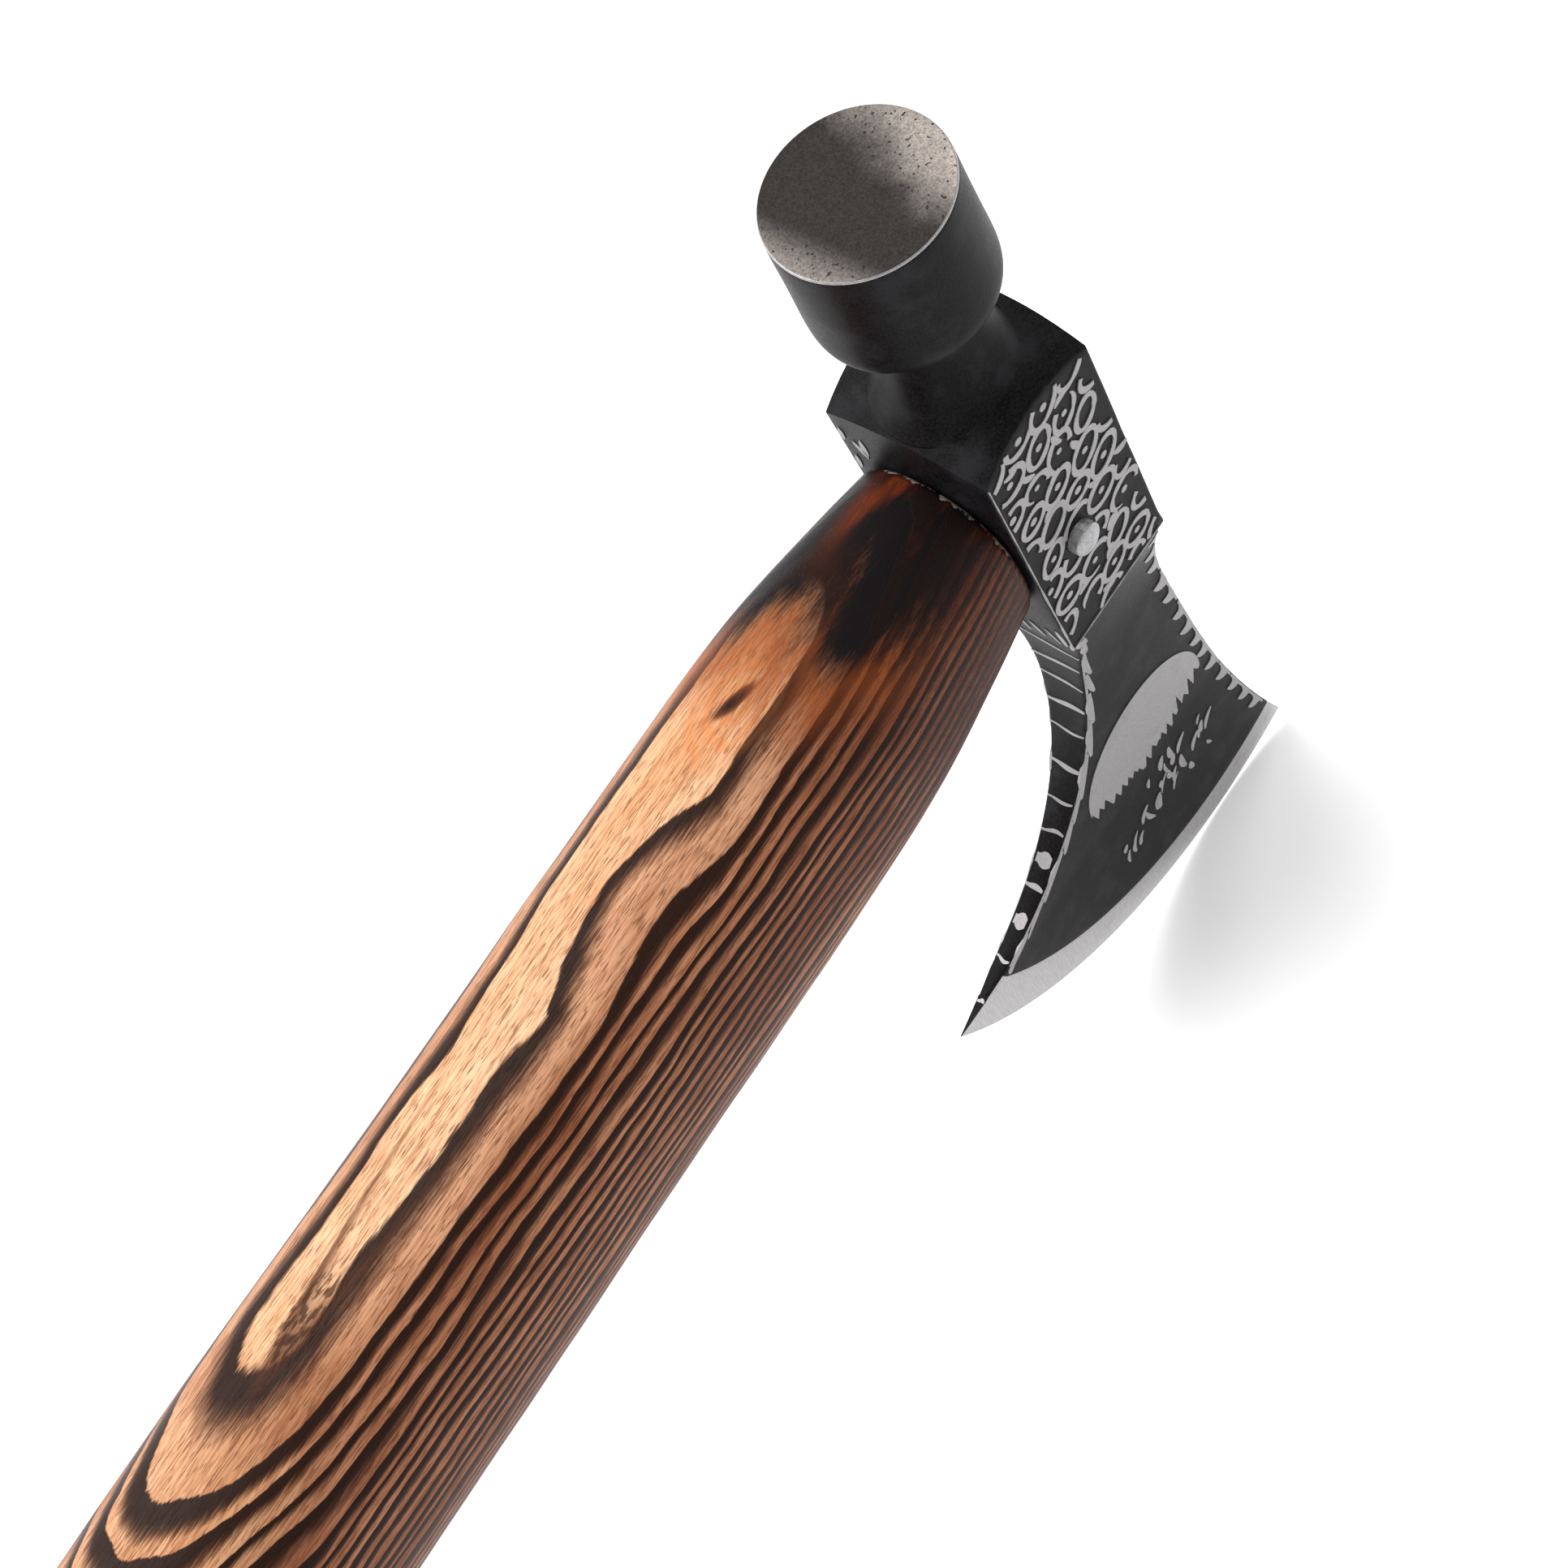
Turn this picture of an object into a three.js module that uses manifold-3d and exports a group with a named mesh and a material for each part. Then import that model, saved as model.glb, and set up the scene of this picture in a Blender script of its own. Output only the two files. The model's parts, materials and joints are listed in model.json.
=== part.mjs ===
// Bearded hatchet with a hammer poll: a one-piece forged head, wedged and pinned on an ash handle.
// Millimetres. Origin: centre of the handle's butt face. +X runs along the handle towards the top of
// the head, +Z towards the hammer's striking face, and the cutting edge hangs towards -Z. The tool is
// symmetrical about the plane Y = 0.
import * as THREE from 'three';
import { mergeVertices } from 'three/addons/utils/BufferGeometryUtils.js';
import Module from 'manifold-3d';

// ---- Driving dimensions -------------------------------------------------------------------------
const GAP = 0.3; // clearance between pieces that touch
const LAP = 5; // how far two solids run into each other before they are joined
const CLEAR = 30; // half the size of a cutter that has to pass right through the head

// Where the head sits on the handle
const EYE_X = 410; // butt face to the centre of the eye
const POLL_Z = 22.5; // handle axis to the shoulders of the poll side
const EYE_BLOCK = { depth: 46.9, height: 22.9, width: 26 };
const CROWN = { alongX: 3.2, top: 4.4, foot: 1.8 }; // how far the poll side swells over its corners

// Hammer poll: [radius, distance above the poll shoulders], from the flared root to the face
const FACE_HEIGHT = 42.1;
const FACE_RADIUS = 12;
const FACE_CHAMFER = 0.4;
const NECK = [[11.2, 2.5], [9.9, 4.4], [8.8, 7], [8, 10.5], [7.7, 13.5], [7.7, 17], [7.9, 18.7]];
const BARREL = [[8.5, 19.5], [9.8, 20.1], [11, 20.8], [11.8, 21.7], [12.3, 22.8], [12.5, 24.6]];

// Blade, seen from the side: [along X from the eye's centre, along Z from the poll shoulders]
const ARC_CENTRE = [9.5, -82];
const EDGE_RADIUS = 76.2;
const WAIST_TOP = [11.45, -44];
const HORN = [28.2, -158];
const TOP_PULLS = [[15.2, -86], [17.3, -124.7]];
const TIP = [-59, -121.6];
const BEARD_TOP = [-6.8, -64];
const BEARD_PULLS = [[-11.5, -114.5], [-6.6, -79.5]];
const WAIST_PULL = [-7.2, -54];
const WAIST_FOOT = [-11.45, -45];

// Blade, seen along the handle: [half thickness, along Z from the poll shoulders]
const WAIST_PULLS = [[8.2, -57], [4.6, -66]];
const BLADE_ROOT = [4.1, -77];
const BLADE_THIN = [1.35, -119];
const BLADE_END = [1.0, -162];
const BEVEL_WIDTH = 16;
const BEVEL_HALF = 1.95; // half thickness that the bevel would have at BEVEL_WIDTH
const EDGE_HALF = 0.08;

// Eye, tenon and what locks them
const TENON = { halfDepth: 13.5, halfWidth: 8.7, proud: 2.5 };
const KERF_WEDGE = { length: 22, depth: 23, thick: 3.2, thin: 1.0 };
const STEEL_WEDGE = { length: 10, depth: 13, thick: 2.0, thin: 0.8, offset: 6.5 };
const PIN = { radius: 2.5, proud: 2.2, dome: 0.7, x: -2, z: -5.4 };

// Handle: [along X from the eye's centre, half depth, half width]
const HANDLE_STATIONS = [
  [-410, 22.2, 17], [-404, 23.6, 18.2], [-380, 22.8, 17.6], [-335, 19.2, 15.6], [-280, 18.9, 15.4],
  [-225, 20.3, 16.1], [-170, 21.6, 16.9], [-110, 21.3, 16.6], [-62, 21.2, 16.5], [-40, 20.4, 16.1],
  [-25, 18.4, 14.5], [-11.75, 15.9, 12.6],
];
const HANDLE_SAG = 3; // how far the handle's middle dips towards the edge side
const HANDLE_SQUARENESS = 2.25; // 2 is an ellipse, more is squarer

const SIDES = 40; // facets round the handle
const RINGS = 34; // rings along the handle
const ROUND_SIDES = 56; // facets round the hammer
const ARC_SIDES = 150; // facets round the cutting edge's full circle
const CROWN_STEPS = 10; // cells across the crowned poll side, each way
const CURVE_STEPS = 13; // facets along a curve of the waist, twice that along the top and the beard
const OVAL_STEPS = 16;
const PIN_SIDES = 24;

// ---- Materials ----------------------------------------------------------------------------------
const metal = (color, roughness) => new THREE.MeshStandardMaterial({ color, roughness, metalness: 0.9 });
const wood = (color) => new THREE.MeshStandardMaterial({ color, roughness: 0.55, metalness: 0 });
const blackenedSteel = metal(0x3a3a3d, 0.55);
const brightSteel = metal(0xb4b2ae, 0.4);
const torchedAsh = wood(0xb5763f);
const wedgeWood = wood(0x8a5a34);

// ---- Solids: closed three.js geometry in, closed three.js geometry out --------------------------
const wasm = await Module();
wasm.setup();

function toSolid(geometry) {
  const bare = geometry.clone();
  bare.deleteAttribute('normal');
  bare.deleteAttribute('uv');
  const merged = mergeVertices(bare);
  const corners = merged.index.array;
  const kept = [];
  for (let i = 0; i < corners.length; i += 3) {
    const [a, b, c] = [corners[i], corners[i + 1], corners[i + 2]];
    if (a !== b && b !== c && c !== a) kept.push(a, b, c);
  }
  const vertProperties = new Float32Array(merged.attributes.position.array);
  const triVerts = new Uint32Array(kept);
  return new wasm.Manifold(new wasm.Mesh({ numProp: 3, vertProperties, triVerts }));
}

function toGeometry(solid) {
  const mesh = solid.getMesh();
  const geometry = new THREE.BufferGeometry();
  geometry.setAttribute('position', new THREE.BufferAttribute(new Float32Array(mesh.vertProperties), 3));
  geometry.setIndex([...mesh.triVerts]);
  geometry.computeVertexNormals();
  return geometry;
}

function outline(points) {
  return new THREE.Shape(points.map(([x, y]) => new THREE.Vector2(x, y)));
}

// An outline drawn in X and Z, extruded equally to both sides of Y = 0
function acrossY(shape, width, curveSegments = 12) {
  const geometry = new THREE.ExtrudeGeometry(shape, { depth: width, bevelEnabled: false, curveSegments });
  return toSolid(geometry.translate(0, 0, -width / 2).rotateX(Math.PI / 2));
}

// An outline drawn in Y and Z, extruded along X from start to end
function alongX(shape, start, end, curveSegments = 12) {
  const options = { depth: end - start, bevelEnabled: false, curveSegments };
  const geometry = new THREE.ExtrudeGeometry(shape, options);
  return toSolid(geometry.translate(0, 0, start).rotateX(Math.PI / 2).rotateZ(Math.PI / 2));
}

function turned(profile, sides) {
  return new THREE.LatheGeometry(profile.map(([r, h]) => new THREE.Vector2(r, h)), sides);
}

// ---- Head: X from the eye's centre, Z from the poll shoulders -----------------------------------
function hammerPoll() {
  const rim = [[FACE_RADIUS + 0.1, FACE_HEIGHT - FACE_CHAMFER], [FACE_RADIUS - FACE_CHAMFER, FACE_HEIGHT]];
  const root = [[0, -LAP], [NECK[0][0], -LAP]];
  const profile = [...root, ...NECK, ...BARREL, ...rim, [0, FACE_HEIGHT]];
  return toSolid(turned(profile, ROUND_SIDES).rotateX(Math.PI / 2));
}

// The eye block: a box whose poll side swells into a crown, fullest on the side of the head's top
function eyeBlock() {
  const { depth, height, width } = EYE_BLOCK;
  const box = new THREE.BoxGeometry(height, width, depth, CROWN_STEPS, CROWN_STEPS, 1);
  const place = box.translate(0, 0, -depth / 2).attributes.position;
  for (let i = 0; i < place.count; i += 1) {
    const x = place.getX(i) / (height / 2);
    const y = place.getY(i) / (width / 2);
    const across = THREE.MathUtils.lerp(CROWN.foot, CROWN.top, (x + 1) / 2);
    const crown = CROWN.alongX * (1 - x * x) + across * (1 - y * y);
    if (place.getZ(i) > -depth / 2) place.setZ(i, crown);
  }
  return toSolid(box);
}

// The blade as seen along the handle: flat cheeks, a hollow waist and a thin wedge
function thicknessShape() {
  const half = EYE_BLOCK.width / 2;
  const foot = -EYE_BLOCK.depth;
  const shape = new THREE.Shape();
  shape.moveTo(half, foot);
  shape.lineTo(half, foot + LAP);
  shape.lineTo(-half, foot + LAP);
  shape.lineTo(-half, foot);
  shape.bezierCurveTo(-WAIST_PULLS[0][0], WAIST_PULLS[0][1], -WAIST_PULLS[1][0], WAIST_PULLS[1][1],
    -BLADE_ROOT[0], BLADE_ROOT[1]);
  shape.lineTo(-BLADE_THIN[0], BLADE_THIN[1]);
  shape.lineTo(-BLADE_END[0], BLADE_END[1]);
  shape.lineTo(BLADE_END[0], BLADE_END[1]);
  shape.lineTo(BLADE_THIN[0], BLADE_THIN[1]);
  shape.lineTo(BLADE_ROOT[0], BLADE_ROOT[1]);
  shape.bezierCurveTo(WAIST_PULLS[1][0], WAIST_PULLS[1][1], WAIST_PULLS[0][0], WAIST_PULLS[0][1],
    half, foot);
  return shape;
}

// The blade from the side, run a little past the cutting edge, which the bevel cone trims
function bladeShape() {
  const shape = new THREE.Shape();
  shape.moveTo(...WAIST_FOOT);
  shape.lineTo(...WAIST_TOP);
  shape.bezierCurveTo(...TOP_PULLS[0], ...TOP_PULLS[1], ...HORN);
  shape.lineTo(ARC_CENTRE[0], ARC_CENTRE[1] - EDGE_RADIUS - LAP);
  shape.lineTo(TIP[0] / 2, ARC_CENTRE[1] - EDGE_RADIUS);
  shape.lineTo(...TIP);
  shape.bezierCurveTo(...BEARD_PULLS[0], ...BEARD_PULLS[1], ...BEARD_TOP);
  shape.quadraticCurveTo(...WAIST_PULL, ...WAIST_FOOT);
  return shape;
}

// A flat disc with two conical bevels, centred on the cutting edge's arc
function bevelCone() {
  const inner = EDGE_RADIUS - BEVEL_WIDTH;
  const profile = [[0, -CLEAR], [inner, -CLEAR], [inner, -BEVEL_HALF], [EDGE_RADIUS, -EDGE_HALF],
    [EDGE_RADIUS, EDGE_HALF], [inner, BEVEL_HALF], [inner, CLEAR], [0, CLEAR]];
  return toSolid(turned(profile, ARC_SIDES).translate(ARC_CENTRE[0], 0, ARC_CENTRE[1]));
}

// ---- Eye and tenon: X from the eye's centre, Z from the handle's axis ---------------------------
function ovalShape(halfWidth, halfDepth) {
  return new THREE.Shape().absellipse(0, 0, halfWidth, halfDepth, 0, 2 * Math.PI, false, 0);
}

function tenonSolid() {
  const end = EYE_BLOCK.height / 2 + TENON.proud;
  return alongX(ovalShape(TENON.halfWidth, TENON.halfDepth), -EYE_BLOCK.height / 2 - LAP, end, OVAL_STEPS);
}

function eyeSolid() {
  return alongX(ovalShape(TENON.halfWidth + GAP, TENON.halfDepth + GAP), -CLEAR, CLEAR, OVAL_STEPS);
}

function pinHole() {
  const hole = new THREE.CylinderGeometry(PIN.radius + GAP, PIN.radius + GAP, 2 * CLEAR, PIN_SIDES);
  return toSolid(hole.translate(PIN.x, 0, PIN.z));
}

// A wedge seen from one side: its top at the tenon's end, its foot thin. reach grows it all round.
function wedgeOutline({ length, thick, thin }, reach) {
  const top = EYE_BLOCK.height / 2 + TENON.proud;
  const headHalf = thick / 2 + reach;
  const footHalf = thin / 2 + reach;
  const foot = top - length - reach;
  const head = top + 2 * reach;
  return [[foot, -footHalf], [head, -headHalf], [head, headHalf], [foot, footHalf]];
}

// The wooden wedge is thin across Y and lies along the tenon's depth
function kerfWedgeSolid(reach) {
  const corners = wedgeOutline(KERF_WEDGE, reach);
  const width = KERF_WEDGE.depth + 2 * reach;
  const geometry = new THREE.ExtrudeGeometry(outline(corners), { depth: width, bevelEnabled: false });
  return toSolid(geometry.translate(0, 0, -width / 2));
}

// The steel wedges are thin across Z and cross the wooden one
function steelWedgeSolid(z, reach) {
  const solid = acrossY(outline(wedgeOutline(STEEL_WEDGE, reach)), STEEL_WEDGE.depth + 2 * reach);
  return solid.translate([0, 0, z]);
}

// ---- Handle -------------------------------------------------------------------------------------
const squared = (value) => Math.sign(value) * Math.abs(value) ** (2 / HANDLE_SQUARENESS);

// A unit cylinder whose rings take the handle's oval sections, from the butt to the shoulder
function handleBody() {
  const stations = new THREE.CatmullRomCurve3(HANDLE_STATIONS.map((s) => new THREE.Vector3(...s)));
  const cylinder = new THREE.CylinderGeometry(1, 1, 1, SIDES, RINGS);
  const place = cylinder.attributes.position;
  for (let i = 0; i < place.count; i += 1) {
    const along = place.getY(i) + 0.5;
    const station = stations.getPoint(along);
    const run = (station.x - HANDLE_STATIONS[0][0]) / -HANDLE_STATIONS[0][0];
    const sag = HANDLE_SAG * Math.sin(Math.PI * run);
    const y = -station.z * squared(place.getX(i));
    const z = station.y * squared(place.getZ(i)) - sag;
    place.setXYZ(i, station.x, y, z);
  }
  return toSolid(cylinder);
}

// ---- The pieces ---------------------------------------------------------------------------------
const eye = eyeSolid();
const hole = pinHole();
const steelOffsets = { poll: STEEL_WEDGE.offset, blade: -STEEL_WEDGE.offset };
const toPoll = [0, 0, POLL_Z];

function headSolid() {
  const thickness = alongX(thicknessShape(), TIP[0] - LAP, HORN[0] + LAP, CURVE_STEPS);
  const blade = acrossY(bladeShape(), 2 * CLEAR, 2 * CURVE_STEPS).intersect(thickness).intersect(bevelCone());
  return eyeBlock().add(blade).add(hammerPoll()).translate(toPoll).subtract(eye).subtract(hole);
}

function handleSolid() {
  let solid = handleBody().add(tenonSolid()).subtract(kerfWedgeSolid(GAP)).subtract(hole);
  for (const z of Object.values(steelOffsets)) solid = solid.subtract(steelWedgeSolid(z, GAP));
  return solid;
}

function woodWedgeSolid() {
  let solid = kerfWedgeSolid(0).subtract(hole);
  for (const z of Object.values(steelOffsets)) solid = solid.subtract(steelWedgeSolid(z, GAP));
  return solid;
}

function pinGeometry() {
  const half = EYE_BLOCK.width / 2 + PIN.proud;
  const { radius, dome } = PIN;
  const end = [[radius, half - dome], [radius * 0.75, half - dome * 0.25], [0, half]];
  const start = end.map(([r, h]) => [r, -h]).reverse();
  return turned([...start, ...end], PIN_SIDES).translate(PIN.x, 0, PIN.z);
}

function piece(name, geometry, material) {
  const mesh = new THREE.Mesh(geometry, material);
  mesh.name = name;
  return mesh;
}

const hatchet = new THREE.Group();
hatchet.position.x = EYE_X;
hatchet.add(
  piece('axe_head', toGeometry(headSolid()), blackenedSteel),
  piece('handle', toGeometry(handleSolid()), torchedAsh),
  piece('kerf_wedge', toGeometry(woodWedgeSolid()), wedgeWood),
  piece('cross_pin', toGeometry(toSolid(pinGeometry())), brightSteel),
);
for (const [side, z] of Object.entries(steelOffsets)) {
  hatchet.add(piece(`steel_wedge_${side}_side`, toGeometry(steelWedgeSolid(z, 0)), brightSteel));
}

export default hatchet;
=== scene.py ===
# %% [markdown]
# # A bearded hatchet with a hammer poll
# The tool is a forged steel head, blackened and etched, wedged and pinned on a torched ash handle.
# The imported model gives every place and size. This lesson builds finer pieces round it: the head as
# one forging, the etched decoration as thin raised plates, the handle as a lofted stick of wood, and
# finishes made only of nodes.

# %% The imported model
import json
from math import atan2, cos, hypot, pi, radians, sin
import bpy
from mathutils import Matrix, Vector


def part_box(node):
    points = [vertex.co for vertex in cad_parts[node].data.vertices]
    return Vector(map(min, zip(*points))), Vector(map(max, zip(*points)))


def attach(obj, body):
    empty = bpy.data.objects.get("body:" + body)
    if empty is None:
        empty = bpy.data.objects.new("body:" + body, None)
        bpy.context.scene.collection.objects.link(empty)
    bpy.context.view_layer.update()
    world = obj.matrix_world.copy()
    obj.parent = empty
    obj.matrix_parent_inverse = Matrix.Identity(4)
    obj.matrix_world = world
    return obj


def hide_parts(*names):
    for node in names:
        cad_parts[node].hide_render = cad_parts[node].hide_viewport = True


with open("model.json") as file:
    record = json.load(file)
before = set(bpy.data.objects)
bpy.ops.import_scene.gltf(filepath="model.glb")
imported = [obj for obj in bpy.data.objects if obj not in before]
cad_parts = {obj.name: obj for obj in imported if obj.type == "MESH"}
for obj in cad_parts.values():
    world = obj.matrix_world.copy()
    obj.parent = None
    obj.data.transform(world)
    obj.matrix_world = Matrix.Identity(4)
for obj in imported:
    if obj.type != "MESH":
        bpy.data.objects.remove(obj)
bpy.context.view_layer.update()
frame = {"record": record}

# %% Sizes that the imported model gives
from types import SimpleNamespace

import bmesh
import bpy
import numpy as np
from mathutils import Matrix, Vector, noise
from mathutils.geometry import interpolate_bezier

MM = 0.001
mounts = {mount["name"]: Vector(mount["pos_m"]) for mount in frame["record"]["mounts"]}
head_low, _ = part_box("axe_head")
FACE_HEIGHT = 42.1  # striking face above the shoulders of the poll side, mm
EYE_X = mounts["hammer_face"].x / MM
POLL_Z = mounts["hammer_face"].z / MM - FACE_HEIGHT
print(f"eye at {EYE_X:.1f} mm from the butt, poll shoulders {POLL_Z:.1f} mm above the handle's axis")

# %% [markdown]
# ## Stage
# A tool like this is pictured on a white sweep under one big soft light, which leaves a pale blurred
# shadow. A wide plane under the cutting edge, a sun with a very large disc and an even white world do
# that with three objects.

# %% Floor
FLOOR_SIZE = 12.0
FLOOR_CENTRE_X = 0.3
FLOOR_GAP = 0.0004
floor_place = (FLOOR_CENTRE_X, 0, head_low.z - FLOOR_GAP)
bpy.ops.mesh.primitive_plane_add(size=FLOOR_SIZE, location=floor_place)
floor = bpy.context.object
floor.name = "floor"
floor_paint = bpy.data.materials.new("floor paper")
floor_paint.use_nodes = True
paper = floor_paint.node_tree.nodes["Principled BSDF"]
paper.inputs["Base Color"].default_value = (0.93, 0.93, 0.94, 1)
paper.inputs["Roughness"].default_value = 0.9
paper.inputs["Specular IOR Level"].default_value = 0.1
paper.inputs["Emission Color"].default_value = (1, 1, 1, 1)
paper.inputs["Emission Strength"].default_value = 0.16
floor.data.materials.append(floor_paint)
print(f"floor {FLOOR_SIZE:.0f} m wide, {FLOOR_GAP / MM:.1f} mm under the cutting edge")

# %% Lights
LIGHT_AIM = Vector((0.36, 0, 0))
world = bpy.data.worlds.new("studio")
world.use_nodes = True
world.node_tree.nodes["Background"].inputs["Color"].default_value = (1.0, 1.0, 1.0, 1)
world.node_tree.nodes["Background"].inputs["Strength"].default_value = 0.62
bpy.context.scene.world = world


def add_light(name, kind, towards, energy, **settings):
    """A light at the end of the vector 'towards', aimed back at the head."""
    data = bpy.data.lights.new(name, kind)
    data.energy = energy
    for setting, value in settings.items():
        setattr(data, setting, value)
    lamp = bpy.data.objects.new(name, data)
    bpy.context.scene.collection.objects.link(lamp)
    lamp.location = LIGHT_AIM + Vector(towards)
    lamp.rotation_euler = (-Vector(towards)).to_track_quat("-Z", "Y").to_euler()
    return lamp


add_light("overhead_sun", "SUN", (-0.32, 0.62, 1.35), 2.35, angle=radians(46))
add_light("left_softbox", "AREA", (-0.5, 0.75, 0.55), 5.0, shape="RECTANGLE", size=0.9, size_y=0.5)
add_light("edge_softbox", "AREA", (0.55, 0.1, 0.75), 2.5, shape="RECTANGLE", size=0.35, size_y=0.35)
print("lights:", ", ".join(light.name for light in bpy.data.lights))

# %% Camera
CAMERA_LENS = 65.2
CAMERA_PLACE = Vector((0.3022, -0.1774, 0.3214))
CAMERA_AIM = Vector((0.358, -0.001, 0.0))
CAMERA_ROLL = radians(-39.66)
camera_data = bpy.data.cameras.new("camera")
camera_data.lens = CAMERA_LENS
camera_data.sensor_width = 36
camera = bpy.data.objects.new("camera", camera_data)
bpy.context.scene.collection.objects.link(camera)
level = (CAMERA_AIM - CAMERA_PLACE).to_track_quat("-Z", "Y").to_matrix()
camera.location = CAMERA_PLACE
camera.rotation_euler = (level @ Matrix.Rotation(CAMERA_ROLL, 3, "Z")).to_euler()
bpy.context.scene.camera = camera
bpy.context.scene.view_settings.view_transform = "Standard"
print(f"camera {(CAMERA_AIM - CAMERA_PLACE).length * 1000:.0f} mm from what it looks at")

# %% [markdown]
# ## Small helpers
# Materials here are many small node sums, so a few helpers write them as plain lines: `put` adds a
# node, `calc` any sum, `plus`, `minus`, `times` and `linear` the common ones, `step` a soft threshold
# and `blend` a mix of two colours.


# %% Node helpers
def put(tree, kind, settings=None, **values):
    """Adds a node. A value that is a socket is linked, any other is set. Spaces in names are _."""
    node = tree.nodes.new(kind)
    for name, value in (settings or {}).items():
        setattr(node, name, value)
    for name, value in values.items():
        socket = node.inputs[name.replace("_", " ")]
        if isinstance(value, bpy.types.NodeSocket):
            tree.links.new(value, socket)
        else:
            socket.default_value = value
    return node


def feed(tree, socket, value):
    if isinstance(value, bpy.types.NodeSocket):
        tree.links.new(value, socket)
    else:
        socket.default_value = value


# %% Sums
def calc(tree, operation, *terms):
    node = tree.nodes.new("ShaderNodeMath")
    node.operation = operation
    for socket, term in zip(node.inputs, terms):
        feed(tree, socket, term)
    return node.outputs[0]


def plus(tree, first, second):
    return calc(tree, "ADD", first, second)


def minus(tree, first, second):
    return calc(tree, "SUBTRACT", first, second)


def times(tree, first, second):
    return calc(tree, "MULTIPLY", first, second)


def linear(tree, value, slope, start):
    """value times slope, plus start."""
    return calc(tree, "MULTIPLY_ADD", value, slope, start)


def above_zero(tree, value):
    return calc(tree, "MAXIMUM", value, 0.0)


def step(tree, value, start, end, low=0.0, high=1.0):
    """Rises smoothly from low at start to high at end."""
    node = put(tree, "ShaderNodeMapRange", {"interpolation_type": "SMOOTHSTEP"})
    for socket, term in zip(node.inputs[:5], (value, start, end, low, high)):
        feed(tree, socket, term)
    return node.outputs[0]


def blend(tree, share, first, second, kind="MIX"):
    node = put(tree, "ShaderNodeMix", {"data_type": "RGBA", "blend_type": kind})
    for place, term in ((0, share), (6, first), (7, second)):
        if isinstance(term, tuple) and len(term) == 3:
            term = (*term, 1)
        feed(tree, node.inputs[place], term)
    return node.outputs[2]


# %% Places and clouds
def scaled(tree, place, scale, shift=(0, 0, 0)):
    return put(tree, "ShaderNodeMapping", Vector=place, Scale=scale, Location=shift).outputs[0]


def cloud(tree, place, scale, detail=2.0, roughness=0.5):
    node = put(tree, "ShaderNodeTexNoise", {"noise_dimensions": "3D"}, Vector=place)
    node.inputs["Scale"].default_value = scale
    node.inputs["Detail"].default_value = detail
    node.inputs["Roughness"].default_value = roughness
    return node.outputs["Fac"]


# %% Materials and groups
def new_material(name, roughness=0.5, metallic=0.0):
    """A material with its Principled shader and the place of each point in millimetres."""
    material = bpy.data.materials.new(name)
    material.use_nodes = True
    tree = material.node_tree
    shader = tree.nodes["Principled BSDF"]
    shader.inputs["Roughness"].default_value = roughness
    shader.inputs["Metallic"].default_value = metallic
    coordinates = tree.nodes.new("ShaderNodeTexCoord")
    place = scaled(tree, coordinates.outputs["Object"], (1 / MM,) * 3)
    return material, tree, shader, place


def raise_bump(tree, shader, height, distance, strength):
    node = put(tree, "ShaderNodeBump", Height=height, Strength=strength, Distance=distance * MM)
    tree.links.new(node.outputs[0], shader.inputs["Normal"])


def new_group(name, inputs, outputs):
    """An empty shader node group with float inputs, except Place, and float outputs."""
    group = bpy.data.node_groups.new(name, "ShaderNodeTree")
    for label, value in inputs.items():
        kind = "NodeSocketVector" if label == "Place" else "NodeSocketFloat"
        socket = group.interface.new_socket(label, in_out="INPUT", socket_type=kind)
        if label != "Place":
            socket.default_value = value
    for label in outputs:
        group.interface.new_socket(label, in_out="OUTPUT", socket_type="NodeSocketFloat")
    entry = group.nodes.new("NodeGroupInput")
    leave = group.nodes.new("NodeGroupOutput")
    return group, entry.outputs, leave.inputs


def use_group(tree, group, **values):
    node = put(tree, "ShaderNodeGroup", {"node_tree": group}, **values)
    return node.outputs


# %% [markdown]
# ## Steel finishes
# Forged steel that was blackened in an etch is a dark, faintly violet grey with a fine grain, a
# little brighter where hands and cloths have rubbed it. Where the etch was kept off, the metal stays
# a frosted light grey. The ground bevel and the striking face are bare steel, the face's light side
# partly a painted highlight. All of them share one grain, so that grain is a node group.

# %% The grain that all the steel shares
grain, grain_in, grain_out = new_group(
    "etched grain", {"Place": 0, "Size": 0.35}, ("Fine", "Blotch", "Height")
)
fine_place = put(grain, "ShaderNodeVectorMath", {"operation": "SCALE"}, Vector=grain_in["Place"])
grain.links.new(calc(grain, "DIVIDE", 1.0, grain_in["Size"]), fine_place.inputs["Scale"])
fine = cloud(grain, fine_place.outputs[0], 1.0, detail=3.0, roughness=0.65)
blotch = cloud(grain, grain_in["Place"], 0.16, detail=4.0, roughness=0.6)
pitting = cloud(grain, fine_place.outputs[0], 0.55, detail=2.0)
pits = step(grain, pitting, 0.30, 0.44)
grain.links.new(fine, grain_out["Fine"])
grain.links.new(blotch, grain_out["Blotch"])
grain.links.new(plus(grain, times(grain, fine, 0.6), pits), grain_out["Height"])
print("steel grain group has", len(grain.nodes), "nodes")


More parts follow.
